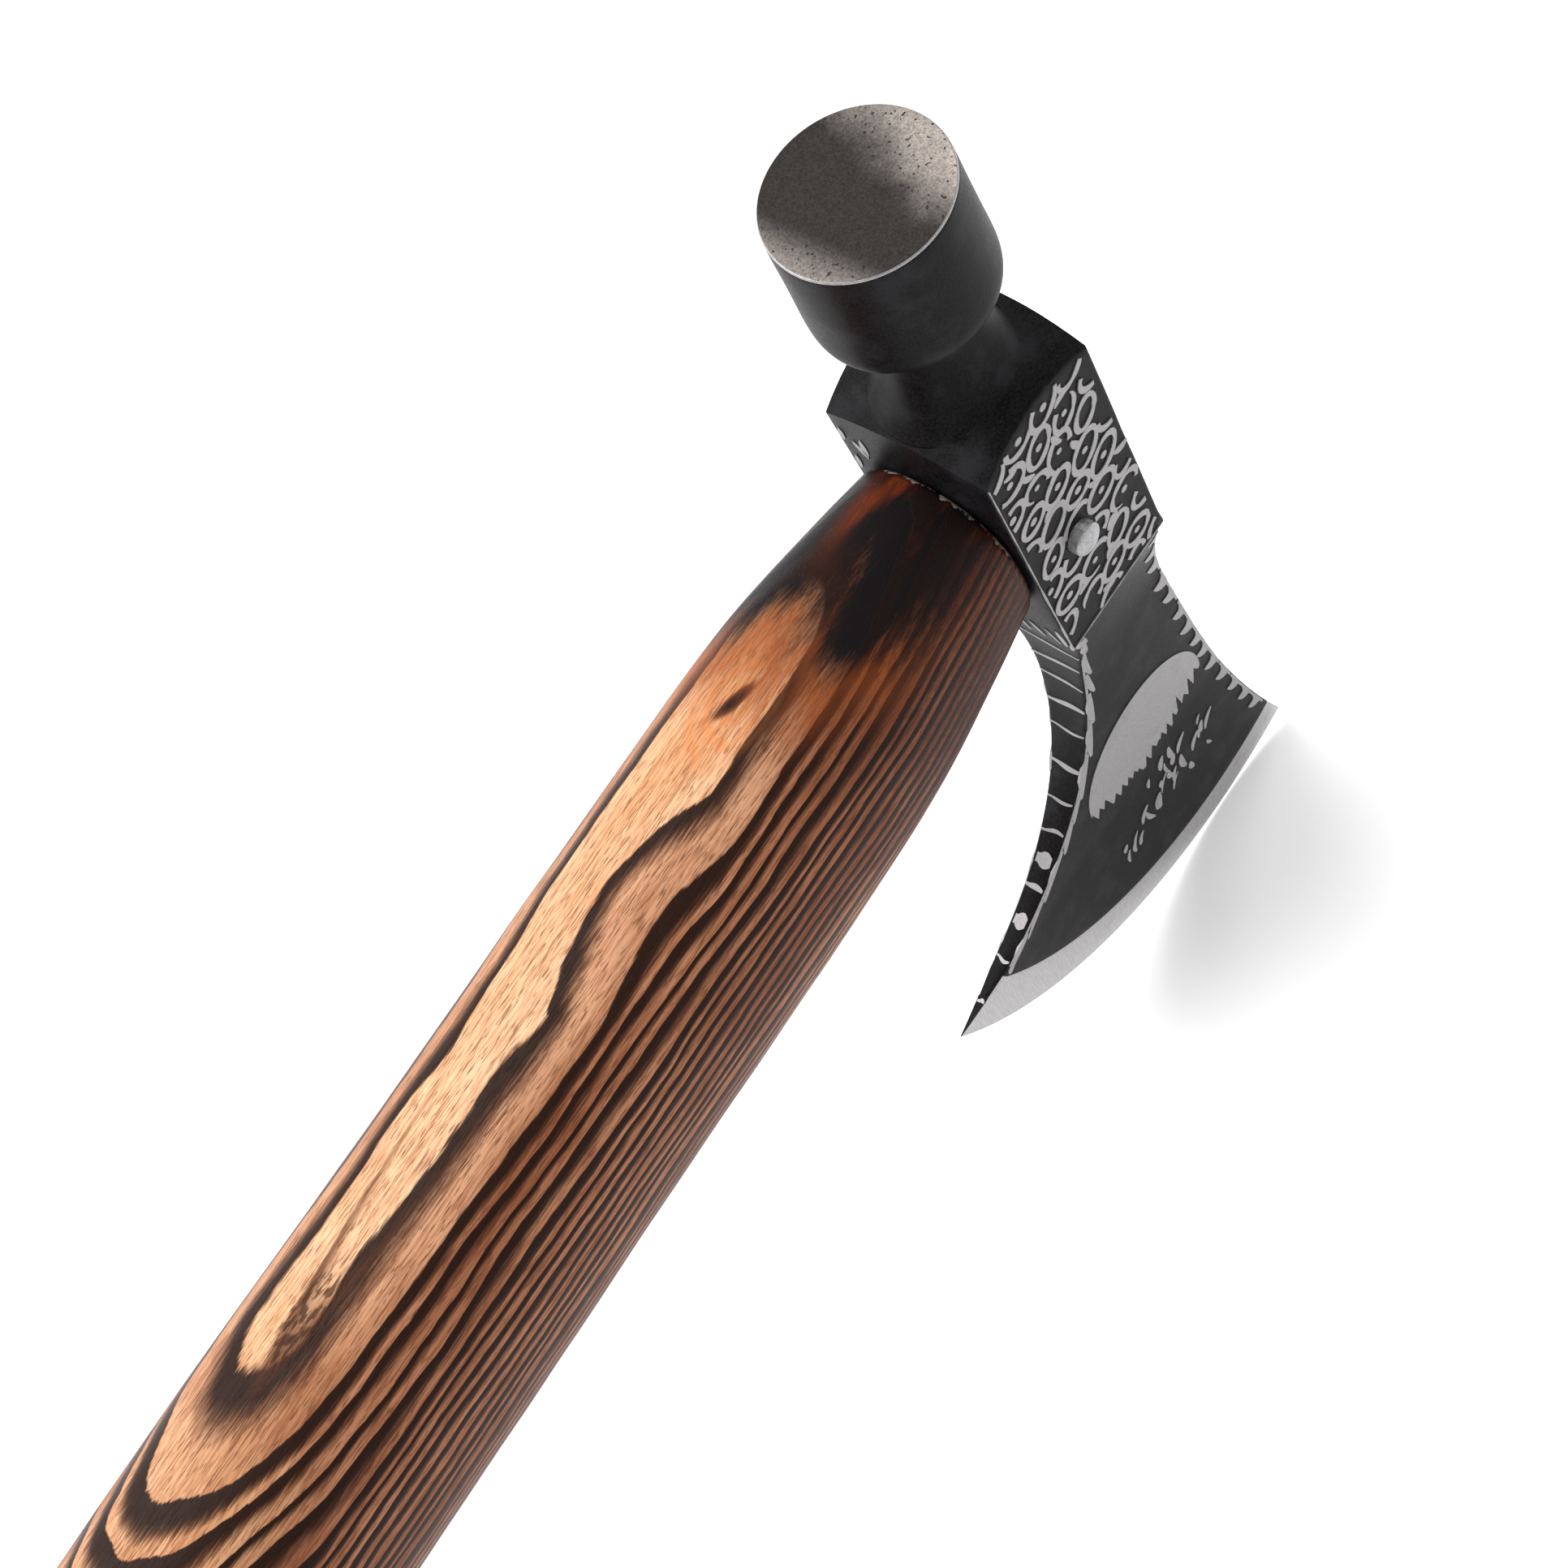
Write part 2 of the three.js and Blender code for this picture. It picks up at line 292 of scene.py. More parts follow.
# %% Blackened steel
def blackened_steel():
    material, tree, shader, place = new_material("blackened steel")
    shader.inputs["Specular IOR Level"].default_value = 0.06
    look = use_group(tree, grain, Place=place, Size=0.32)
    fine = step(tree, look["Fine"], 0.32, 0.68)
    dark = blend(tree, fine, (0.0015, 0.0013, 0.0014), (0.011, 0.0098, 0.011))
    worn = step(tree, look["Blotch"], 0.46, 0.72)
    colour = blend(tree, times(tree, worn, 0.5), dark, (0.026, 0.0245, 0.028))
    feed(tree, shader.inputs["Base Color"], colour)
    feed(tree, shader.inputs["Roughness"], step(tree, look["Fine"], 0.25, 0.8, 0.36, 0.52))
    raise_bump(tree, shader, look["Height"], 0.02, 0.5)
    return material


def frosted_steel():
    """Steel that the etch was kept off: light, matt and a little uneven."""
    material, tree, shader, place = new_material("frosted steel", metallic=0.55)
    look = use_group(tree, grain, Place=place, Size=0.28)
    light = blend(tree, step(tree, look["Fine"], 0.3, 0.75), (0.25, 0.24, 0.245), (0.37, 0.357, 0.363))
    soiled = times(tree, step(tree, look["Blotch"], 0.5, 0.75), 0.35)
    feed(tree, shader.inputs["Base Color"], blend(tree, soiled, light, (0.16, 0.152, 0.158)))
    feed(tree, shader.inputs["Roughness"], step(tree, look["Fine"], 0.2, 0.8, 0.42, 0.55))
    raise_bump(tree, shader, look["Height"], 0.012, 0.4)
    return material


def ground_steel():
    """The bevel: fine scratches run square to the edge, as a belt leaves them."""
    material, tree, shader, place = new_material("ground steel", metallic=0.85)
    look = use_group(tree, grain, Place=place, Size=0.3)
    scratches = cloud(tree, scaled(tree, place, (6.0, 1.0, 0.25)), 1.0, detail=3.0, roughness=0.7)
    light = blend(tree, step(tree, scratches, 0.3, 0.7), (0.30, 0.29, 0.292), (0.46, 0.45, 0.455))
    stain = times(tree, step(tree, look["Blotch"], 0.55, 0.8), 0.5)
    feed(tree, shader.inputs["Base Color"], blend(tree, stain, light, (0.16, 0.14, 0.135)))
    feed(tree, shader.inputs["Roughness"], step(tree, scratches, 0.2, 0.8, 0.3, 0.46))
    raise_bump(tree, shader, scratches, 0.01, 0.35)
    return material


def struck_face():
    """The striking face: stained dark, with black pits; its +X side is bare and light, partly a painted
    highlight.
    """
    material, tree, shader, place = new_material("struck face", metallic=0.6)
    look = use_group(tree, grain, Place=place, Size=0.3)
    # Painted highlight: the stain thins out towards +X, so that side of the face stays light where a
    # reflection falls; the rim towards the butt is lighter too.
    across = put(tree, "ShaderNodeSeparateXYZ", Vector=place).outputs
    side = linear(tree, across["Y"], -0.35, across["X"])
    ragged = times(tree, minus(tree, look["Blotch"], 0.5), 9.0)
    stain_outside_highlight = step(tree, plus(tree, side, ragged), EYE_X + 13.0, EYE_X + 1.5)
    rim_lighter_towards_butt = step(tree, minus(tree, EYE_X, across["X"]), 6.5, 11.5)
    stain_outside_highlight = times(tree, stain_outside_highlight, linear(tree, rim_lighter_towards_butt, -0.5, 1.0))
    bare_and_lit = blend(tree, step(tree, look["Fine"], 0.3, 0.7), (0.22, 0.19, 0.172), (0.42, 0.372, 0.335))
    fine = step(tree, look["Fine"], 0.35, 0.7)
    dirt = blend(tree, fine, (0.003, 0.0022, 0.002), (0.014, 0.0105, 0.0095))
    colour = blend(tree, times(tree, stain_outside_highlight, 0.96), bare_and_lit, dirt)
    spots = step(tree, cloud(tree, place, 1.5, detail=1.0), 0.36, 0.30)
    colour = blend(tree, times(tree, spots, 0.9), colour, (0.012, 0.010, 0.009))
    feed(tree, shader.inputs["Base Color"], colour)
    feed(tree, shader.inputs["Roughness"], linear(tree, stain_outside_highlight, 0.16, 0.38))
    feed(tree, shader.inputs["Metallic"], linear(tree, stain_outside_highlight, -0.55, 0.58))
    shader.inputs["Specular IOR Level"].default_value = 0.15
    raise_bump(tree, shader, minus(tree, look["Height"], spots), 0.03, 0.5)
    return material


BLACKENED = blackened_steel()
FROSTED = frosted_steel()
GROUND = ground_steel()
STRUCK = struck_face()
print("steel finishes:", ", ".join(m.name for m in (BLACKENED, FROSTED, GROUND, STRUCK)))

# %% [markdown]
# ## The shape of the blade
# The head is drawn in millimetres from the eye's centre (X) and the poll shoulders (Z). Two curves
# bound the blade, the top edge and the beard; an arc is the cutting edge. Its thickness depends on Z:
# full across the eye, hollowed at the waist, then a thin wedge that the bevel trims.

# %% Sizes of the head
BLOCK_DEPTH = 46.9
BLOCK_HALF_HEIGHT = 11.45
BLOCK_HALF_WIDTH = 13.0
CROWN_ALONG = 3.2
CROWN_TOP = 4.4
CROWN_FOOT = 1.8
ARC_CENTRE = Vector((9.5, -82))
EDGE_RADIUS = 76.2
BEVEL_WIDTH = 16.0
BEVEL_HALF = 1.95
EDGE_HALF = 0.08
CURVE_SAMPLES = 900
ARC_STEPS = 120


def quadratic(start, pull, end, samples):
    start, pull, end = Vector(start), Vector(pull), Vector(end)
    first = start + (pull - start) * 2 / 3
    second = end + (pull - end) * 2 / 3
    return interpolate_bezier(start, first, second, end, samples)


def cubic(start, pull_a, pull_b, end, samples):
    return interpolate_bezier(Vector(start), Vector(pull_a), Vector(pull_b), Vector(end), samples)


TOP_EDGE = cubic((11.45, -44), (15.2, -86), (17.3, -124.7), (28.2, -158), CURVE_SAMPLES)
WAIST_FOOT = quadratic((-11.45, -45), (-7.2, -54), (-6.8, -64), CURVE_SAMPLES // 4)
BEARD = WAIST_FOOT + cubic((-6.8, -64), (-6.6, -79.5), (-11.5, -114.5), (-59, -121.6), CURVE_SAMPLES)[1:]
WAIST = cubic((13, -46.9), (8.2, -57), (4.6, -66), (4.1, -77), 60)
HALF_STATIONS = [(13.0, 6.0)] + [tuple(p) for p in WAIST] + [(1.35, -119), (1.0, -162)]


def plate_half(z):
    """Half thickness before the bevel is ground."""
    return float(np.interp(-z, [-s[1] for s in HALF_STATIONS], [s[0] for s in HALF_STATIONS]))


def bevel_half(radius):
    into = (radius - (EDGE_RADIUS - BEVEL_WIDTH)) / BEVEL_WIDTH
    return BEVEL_HALF + (EDGE_HALF - BEVEL_HALF) * into


def half_at(x, z):
    """Half thickness of the finished head at a point of its side view."""
    radius = hypot(x - ARC_CENTRE.x, z - ARC_CENTRE.y)
    if z > -BLOCK_DEPTH or radius < EDGE_RADIUS - BEVEL_WIDTH:
        return plate_half(z)
    return max(EDGE_HALF, min(plate_half(z), bevel_half(radius)))


# %% Where the curves meet the bevel and the cutting edge
def radius_of(point):
    return (point - ARC_CENTRE).length


def first_index(line, test):
    return next(i for i, point in enumerate(line) if test(point))


def in_bevel(point):
    radius = radius_of(point)
    return radius > EDGE_RADIUS - BEVEL_WIDTH and bevel_half(radius) < plate_half(point.y)


def parts_of(line):
    """The stretch of a side curve above the bevel, and the stretch beside it."""
    ridge = first_index(line, in_bevel)
    edge = first_index(line, lambda point: radius_of(point) > EDGE_RADIUS)
    return line[: ridge + 1], line[ridge : edge + 1]


def lengths_of(line):
    """How far along a line each of its points is."""
    return np.cumsum([0] + [(b - a).length for a, b in zip(line, line[1:])])


def along(line, share):
    """The point at that share of a line's length."""
    lengths = lengths_of(line)
    where = float(np.interp(share * lengths[-1], lengths, range(len(line))))
    i = min(int(where), len(line) - 2)
    return line[i].lerp(line[i + 1], where - i)


def on_circle(angle, radius):
    return ARC_CENTRE + Vector((cos(angle), sin(angle))) * radius


def ridge_radius(angle):
    """Where the bevel starts, along one direction from the arc's centre."""
    radius = EDGE_RADIUS - BEVEL_WIDTH / 2
    for _ in range(12):
        share = (BEVEL_HALF - plate_half(on_circle(angle, radius).y)) / (BEVEL_HALF - EDGE_HALF)
        radius = EDGE_RADIUS - BEVEL_WIDTH + BEVEL_WIDTH * share
    return radius


# %% The cutting edge and the ridge of the bevel
TOP_PLAIN, TOP_BEVEL = parts_of(TOP_EDGE)
BEARD_PLAIN, BEARD_BEVEL = parts_of(BEARD)


def angle_of(point):
    return atan2(point.y - ARC_CENTRE.y, point.x - ARC_CENTRE.x)


def arc_line(start, end, radius_at):
    """Points of an arc from one side curve to the other."""
    first, last = angle_of(start), angle_of(end)
    if last > 0:
        last -= 2 * pi
    turns = [first + (last - first) * i / ARC_STEPS for i in range(ARC_STEPS + 1)]
    return [on_circle(turn, radius_at(turn)) for turn in turns]


RIDGE = arc_line(TOP_PLAIN[-1], BEARD_PLAIN[-1], ridge_radius)
EDGE = arc_line(TOP_BEVEL[-1], BEARD_BEVEL[-1], lambda angle: EDGE_RADIUS)
TOP_BEVEL[-1], BEARD_BEVEL[-1] = EDGE[0], EDGE[-1]
RIDGE[0], RIDGE[-1] = TOP_PLAIN[-1], BEARD_PLAIN[-1]
print(f"cutting edge runs {(EDGE[0] - EDGE[-1]).length:.1f} mm corner to corner")


def patch(start_line, end_line, side_a, side_b, u, v):
    """A sheet stretched between four curves."""
    a, b = along(side_a, v), along(side_b, v)
    c, d = along(start_line, u), along(end_line, u)
    flat_start = start_line[0].lerp(start_line[-1], u)
    flat_end = end_line[0].lerp(end_line[-1], u)
    return a.lerp(b, u) + c.lerp(d, v) - flat_start.lerp(flat_end, v)


# %% [markdown]
# ## The forged head
# A smith splits and drifts one bar, so the head has no seams. Here a flat grid takes the side view's
# outline with the true thickness at every point, is extruded to a slab and has its rims rounded by a
# bevel. The hammer poll is a profile spun round its axis. Boolean operators join the two and cut the
# eye and the pin hole.

# %% Measures that show whether a body is closed
def open_edges(bm):
    return sum(1 for edge in bm.edges if len(edge.link_faces) != 2)


def measured(bm, unit=1.0):
    volume = bm.calc_volume(signed=True) / unit**3
    return f"{len(bm.faces)} faces, {open_edges(bm)} open, {volume:.0f} cubic mm"


# %% Side view as a flat grid
COLUMNS = 44
BLOCK_ROWS = 30
PLAIN_ROWS = 72
BEVEL_ROWS = 8
ROWS = BLOCK_ROWS + PLAIN_ROWS + BEVEL_ROWS
BLOCK_HEAD = [Vector((BLOCK_HALF_HEIGHT, 0)), Vector((-BLOCK_HALF_HEIGHT, 0))]
BLOCK_FOOT = [TOP_EDGE[0], BEARD[0]]
BLOCK_SIDES = [BLOCK_HEAD[0], BLOCK_FOOT[0]], [BLOCK_HEAD[1], BLOCK_FOOT[1]]
FORGE_SIZE = 0.055
FORGE_SHIFT = Vector((3.7, 3.7, 3.7))


def side_view(u, v):
    """Share across the head and share down it to a point of the side view."""
    row = v * ROWS
    if row <= BLOCK_ROWS:
        return patch(BLOCK_HEAD, BLOCK_FOOT, *BLOCK_SIDES, u, row / BLOCK_ROWS)
    row -= BLOCK_ROWS
    if row <= PLAIN_ROWS:
        return patch(BLOCK_FOOT, RIDGE, TOP_PLAIN, BEARD_PLAIN, u, row / PLAIN_ROWS)
    row -= PLAIN_ROWS
    return patch(RIDGE, EDGE, TOP_BEVEL, BEARD_BEVEL, u, row / BEVEL_ROWS)


def forged(bm):
    """Pushes points a little along their normals, as hammer work leaves a surface."""
    bm.normal_update()
    for vertex in bm.verts:
        place = vertex.co * 0.11 + FORGE_SHIFT
        swell = noise.noise(place) + 0.4 * noise.noise(place * 3.1)
        if abs(vertex.co.y) > BEVEL_HALF:
            vertex.co += vertex.normal * FORGE_SIZE * swell


def crown(x, y):
    """How far the poll side swells over its corners."""
    across = CROWN_FOOT + (CROWN_TOP - CROWN_FOOT) * (x / BLOCK_HALF_HEIGHT + 1) / 2
    bulge = max(0.0, 1 - (y / BLOCK_HALF_WIDTH) ** 2)
    return CROWN_ALONG * (1 - (x / BLOCK_HALF_HEIGHT) ** 2) + across * bulge


def slab():
    """The block and the blade as one closed body, in head millimetres."""
    bm = bmesh.new()
    bmesh.ops.create_grid(bm, x_segments=COLUMNS, y_segments=ROWS, size=1)
    for vertex in bm.verts:
        u, v = (vertex.co.x + 1) / 2, (vertex.co.y + 1) / 2
        point = side_view(u, v)
        vertex.co = (point.x, -half_at(point.x, point.y), point.y)
    made = bmesh.ops.extrude_face_region(bm, geom=bm.faces[:])["geom"]
    for vertex in (v for v in made if isinstance(v, bmesh.types.BMVert)):
        vertex.co.y = -vertex.co.y
    bmesh.ops.recalc_face_normals(bm, faces=bm.faces[:])
    return bm


# %% Rounded rims, a crowned poll side and hammer work
RIM = 0.32
THINNEST_RIM = 0.75  # half thickness below which a corner stays sharp
CROSS_CUTS = 12
LONG_EDGE = 6.0
CROWN_REACH = 22.0


def is_rim(edge):
    """A corner between a cheek and the side of the slab, where the slab is thick enough to round."""
    if len(edge.link_faces) != 2:
        return False
    flats = [abs(face.normal.y) > 0.6 for face in edge.link_faces]
    thick = all(abs(vertex.co.y) > THINNEST_RIM for vertex in edge.verts)
    return flats[0] != flats[1] and thick


block_and_blade = slab()
block_and_blade.normal_update()
rims = [edge for edge in block_and_blade.edges if is_rim(edge)]
bmesh.ops.bevel(
    block_and_blade, geom=rims, offset=RIM, offset_type="OFFSET", affect="EDGES", segments=2,
    profile=0.5, material=-1, clamp_overlap=False,
)
crossing = [
    e for e in block_and_blade.edges
    if e.verts[0].co.y * e.verts[1].co.y < 0 and e.calc_length() > LONG_EDGE
]
bmesh.ops.subdivide_edges(block_and_blade, edges=crossing, cuts=CROSS_CUTS, use_grid_fill=True)
for vertex in block_and_blade.verts:
    if vertex.co.z > -CROWN_REACH:
        fade = 1 + vertex.co.z / CROWN_REACH
        vertex.co.z += crown(vertex.co.x, vertex.co.y) * fade
forged(block_and_blade)
print(f"slab: {len(rims)} rim edges rounded, {measured(block_and_blade)}")


# %% Hammer poll, spun
def flowing(stations, at):
    """A smooth curve through (place, value) pairs, read at one place."""
    places = [s[0] for s in stations]
    values = [s[1] for s in stations]
    last = len(places) - 1
    i = min(max(int(np.searchsorted(places, at)) - 1, 0), last - 1)

    def slope(j):
        a, b = max(j - 1, 0), min(j + 1, last)
        return (values[b] - values[a]) / (places[b] - places[a])

    gap = places[i + 1] - places[i]
    t = min(max((at - places[i]) / gap, 0.0), 1.0)
    rise = (2 * t**3 - 3 * t**2 + 1) * values[i] + (3 * t**2 - 2 * t**3) * values[i + 1]
    return rise + gap * ((t**3 - 2 * t**2 + t) * slope(i) + (t**3 - t**2) * slope(i + 1))


ROOT = -5.0
NECK = [(2.5, 11.2), (4.4, 9.9), (7, 8.8), (10.5, 8), (13.5, 7.7), (17, 7.7), (18.7, 7.9)]
BARREL = [(19.5, 8.5), (20.1, 9.8), (20.8, 11), (21.7, 11.8), (22.8, 12.3), (24.6, 12.5), (30, 12.4)]
RIM_TURN = [(12.12, 41.78), (12.06, 41.94), (11.94, 42.05), (11.75, 42.1)]
TURNS = 112
POLL_SWELL = 0.006


def spun(profile, turns=TURNS):
    """Spins (radius, height) pairs, whose ends lie on the axis, into a closed body."""
    bm = bmesh.new()
    corners = [bm.verts.new((radius, 0, height)) for radius, height in profile]
    edges = [bm.edges.new(pair) for pair in zip(corners, corners[1:])]
    bmesh.ops.spin(
        bm, geom=corners + edges, cent=(0, 0, 0), axis=(0, 0, 1), angle=2 * pi, steps=turns, use_merge=True
    )
    bmesh.ops.remove_doubles(bm, verts=bm.verts[:], dist=0.001)
    bmesh.ops.recalc_face_normals(bm, faces=bm.faces[:])
    return bm


def poll_profile():
    stretches = (2.5, 18.7, 26), (19.1, 25, 22), (26, 41, 12)
    heights = np.concatenate([np.linspace(*stretch) for stretch in stretches])
    stations = NECK + BARREL + [(41.0, 12.13)]
    wall = [(flowing(stations, h), h) for h in heights]
    face = [(r, FACE_HEIGHT) for r in (10.6, 8.5, 6, 3.5, 0)]
    return [(0, ROOT), (NECK[0][1], ROOT)] + wall + RIM_TURN + face


poll = spun([(r, float(h)) for r, h in poll_profile()])
for vertex in poll.verts:
    if 4 < vertex.co.z < FACE_HEIGHT - 1:
        swell = noise.noise(vertex.co * 0.12 + Vector((9, 2, 5)))
        vertex.co.x *= 1 + POLL_SWELL * swell
        vertex.co.y *= 1 + POLL_SWELL * swell
print(f"hammer poll: {measured(poll)}")


# %% Join the forging and cut its holes
def place_head(bm):
    """Head millimetres to the row's metres."""
    move = Matrix.Translation((EYE_X * MM, 0, POLL_Z * MM)) @ Matrix.Scale(MM, 4)
    bmesh.ops.transform(bm, matrix=move, verts=bm.verts[:])
    return bm


def as_object(name, bm):
    mesh = bpy.data.meshes.new(name)
    bm.to_mesh(mesh)
    bm.free()
    thing = bpy.data.objects.new(name, mesh)
    bpy.context.scene.collection.objects.link(thing)
    return thing


def combine(body, tool, operation):
    """Joins or cuts body with tool, and removes the tool."""
    modifier = body.modifiers.new(operation, "BOOLEAN")
    modifier.operation = operation
    modifier.solver = "MANIFOLD"
    modifier.object = tool
    shape = bpy.data.meshes.new_from_object(body.evaluated_get(bpy.context.evaluated_depsgraph_get()))
    body.modifiers.clear()
    body.data = shape
    bpy.data.objects.remove(tool)
    bm = bmesh.new()
    bm.from_mesh(shape)
    print(f"{operation}: {measured(bm, MM)}")
    bm.free()


def rounded_bar(radius_y, radius_z, length, segments=96):
    """An oval bar along X, centred on the origin."""
    bm = bmesh.new()
    bmesh.ops.create_cone(
        bm, cap_ends=True, segments=segments, radius1=1, radius2=1, depth=length,
        matrix=Matrix.Rotation(pi / 2, 4, "Y"),
    )
    bmesh.ops.scale(bm, vec=(1, radius_y, radius_z), verts=bm.verts[:])
    return bm


GAP = 0.3
TENON_HALF_WIDTH = 8.7
TENON_HALF_DEPTH = 13.5
TENON_PROUD = 2.5
PIN_RADIUS = 2.5
PIN_FIT = 0.05
CUTTER_LENGTH = 60
PIN_PLACE = Vector((-2, 0, -5.4))  # from the eye's centre and the handle's axis
DOWN_TO_AXIS = Vector((0, 0, -POLL_Z))


# %% Cutters
def eye_cutter():
    bm = rounded_bar(TENON_HALF_WIDTH + GAP, TENON_HALF_DEPTH + GAP, CUTTER_LENGTH)
    bmesh.ops.translate(bm, vec=DOWN_TO_AXIS, verts=bm.verts[:])
    return as_object("eye_cutter", place_head(bm))


def pin_cutter():
    bm = rounded_bar(PIN_RADIUS + PIN_FIT, PIN_RADIUS + PIN_FIT, CUTTER_LENGTH, 48)
    bmesh.ops.rotate(bm, cent=(0, 0, 0), matrix=Matrix.Rotation(pi / 2, 3, "Z"), verts=bm.verts[:])
    bmesh.ops.translate(bm, vec=PIN_PLACE + DOWN_TO_AXIS, verts=bm.verts[:])
    return as_object("pin_cutter", place_head(bm))


head = as_object("forged_head", place_head(block_and_blade))
combine(head, as_object("poll_tool", place_head(poll)), "UNION")
combine(head, eye_cutter(), "DIFFERENCE")
combine(head, pin_cutter(), "DIFFERENCE")
print(f"head {len(head.data.polygons)} faces after joining")


# %% Finish for each zone of the head
def assign(piece, materials, choose, smooth_below=32):
    """Rides on the tool, takes its finishes by face, and is smooth but for its corners."""
    mesh = piece.data
    mesh.materials.clear()
    for material in materials:
        mesh.materials.append(material)
    for polygon in mesh.polygons:
        polygon.material_index = choose(polygon)
    mesh.shade_smooth()
    mesh.set_sharp_from_angle(angle=radians(smooth_below))
    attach(piece, "root")
    print(f"{piece.name}: {len(mesh.polygons)} faces")
    return piece


FACE_RIM = 0.3  # the turned corner round the striking face
FACE_TOP = 0.04
BEVEL_STARTS = -60  # nothing above this height belongs to the bevel
WALL_UP_TO = 5.0


def head_zone(polygon):
    """0 is blackened, 1 ground bright and 2 the striking face."""
    centre = polygon.center / MM - Vector((EYE_X, 0, POLL_Z))
    radius = hypot(centre.x - ARC_CENTRE.x, centre.z - ARC_CENTRE.y)
    on_side = Vector((centre.x, centre.z))
    if centre.z > FACE_HEIGHT - FACE_TOP:
        return 2
    if centre.z > FACE_HEIGHT - FACE_RIM:
        return 1
    if abs(polygon.normal.y) < 0.5 and centre.x < WALL_UP_TO:
        return 0
    if centre.z < BEVEL_STARTS and radius > EDGE_RADIUS - BEVEL_WIDTH and in_bevel(on_side):
        return 1
    return 0


assign(head, [BLACKENED, GROUND, STRUCK], head_zone)
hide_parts("axe_head")

# %% [markdown]
# ## Etched decoration
# The drawing is painted on bright steel with a resist and the rest is etched black, so it is left as
# frosted metal a little proud of the cheeks. It is built as thin ribbons and spots that follow the
# cheek. The drawing is a plain one of the maker's own: scroll loops on the eye, a moon over fir trees
# and a toothed border on the blade, stripes across the spine.

# %% Ribbons, spots and the step that lays them on the steel
PLATE = 0.15
PLATE_SPREAD = 0.04  # no two plates are quite the same height, so none share a plane
BURIED = 0.30
pen = np.random.default_rng(31)


def between(low, high):
    """A random value, the next one that the pen draws."""
    return float(pen.uniform(low, high))


def ribbon(bm, line, half_widths):
    """A flat ribbon along a line of the side view. It closes up where the line ends as it began."""
    last = len(line) - 1
    closed = (line[0] - line[last]).length < 0.001
    made = bmesh.ops.create_grid(bm, x_segments=last, y_segments=1, size=1)["verts"]
    lift = PLATE + PLATE_SPREAD * pen.random()
    for vertex in made:
        i = round((vertex.co.x + 1) / 2 * last)
        ahead = line[(i + 1) % last] if closed else line[min(i + 1, last)]
        behind = line[(i - 1) % last] if closed else line[max(i - 1, 0)]
        direction = (ahead - behind).normalized()
        reach = half_widths[i] * (1 if vertex.co.y > 0 else -1)
        point = line[i] + Vector((-direction.y, direction.x)) * reach
        vertex.co = (point.x, lift, point.y)
    if closed:
        bmesh.ops.remove_doubles(bm, verts=made, dist=0.001)


# %% Ovals, dots and daggers
def oval(centre, long, short, tilt, start=0.0, end=2 * pi, points=22, wobble=0.0):
    """Points of an ellipse, or of an arc of one, in the side view."""
    line = []
    for i in range(points + 1):
        turn = start + (end - start) * i / points
        swell = 1 + wobble * sin(2 * turn + tilt * 3)
        x, y = long * cos(turn) * swell, short * sin(turn) * swell
        leaned = Vector((x * cos(tilt) - y * sin(tilt), x * sin(tilt) + y * cos(tilt)))
        line.append(Vector(centre) + leaned)
    return line


def dot(bm, centre, radius, squash=1.0):
    made = bmesh.ops.create_circle(bm, cap_ends=True, segments=14, radius=radius)["verts"]
    lift = PLATE + PLATE_SPREAD * pen.random()
    for vertex in made:
        vertex.co = (centre[0] + vertex.co.x, lift, centre[1] + vertex.co.y * squash)


def dagger(bm, start, end, half_width, bend=0.0, points=8):
    """A ribbon that swells and comes to a point at both ends."""
    start, end = Vector(start), Vector(end)
    square = Vector((-(end - start).y, (end - start).x))
    shares = [i / points for i in range(points + 1)]
    line = [start.lerp(end, share) + square * bend * sin(pi * share) for share in shares]
    swells = [sin(pi * (0.08 + 0.84 * share)) ** 0.8 for share in shares]
    ribbon(bm, line, [max(0.05, half_width * swell) for swell in swells])


# %% Laying a drawing on the steel
def lay_on_cheeks(name, bm):
    """Gives the drawing its thickness, lays it on one cheek and mirrors it to the other."""
    made = bmesh.ops.extrude_face_region(bm, geom=bm.faces[:])["geom"]
    for vertex in (v for v in made if isinstance(v, bmesh.types.BMVert)):
        vertex.co.y = -BURIED
    for vertex in bm.verts:
        vertex.co.y = -(half_at(vertex.co.x, vertex.co.z) + vertex.co.y)
    everything = bm.verts[:] + bm.edges[:] + bm.faces[:]
    bmesh.ops.mirror(bm, geom=everything, matrix=Matrix.Identity(4), merge_dist=0.0, axis="Y")
    bmesh.ops.recalc_face_normals(bm, faces=bm.faces[:])
    print(f"{name}: {len(bm.faces)} faces, {open_edges(bm)} open")
    piece = as_object(name, place_head(bm))
    return assign(piece, [FROSTED], lambda polygon: 0)


# %% Scroll loops on the eye
LOOP_PITCH = (5.9, 5.2)
LOOP_HALF = (2.75, 1.95)
LOOP_STROKE = 0.41
PIN_ON_CHEEK = Vector((PIN_PLACE.x, PIN_PLACE.z - POLL_Z))


def on_panel(point, margin):
    inside = abs(point.x) < BLOCK_HALF_HEIGHT - margin
    return inside and -BLOCK_DEPTH + margin < point.y < crown(point.x, BLOCK_HALF_WIDTH) - margin


def kept(line, widths, clear=3.4):
    """The longest run of a line that stays on the panel and off the pin."""
    runs, run = [], []
    for point, width in zip(line, widths):
        if on_panel(point, 0.3 + width) and (point - PIN_ON_CHEEK).length > clear:
            run.append((point, width))
        else:
            runs.append(run)
            run = []
    return max(runs + [run], key=len)


# %% One loop with its dot, and the web between loops
LOOP_POINTS = 22
OPEN_SHARE = 0.3
OPEN_SWEEP = 0.74
DOT_CLEAR = 4.2  # how far a dot keeps from the pin
WEB_CLEAR = 4.6


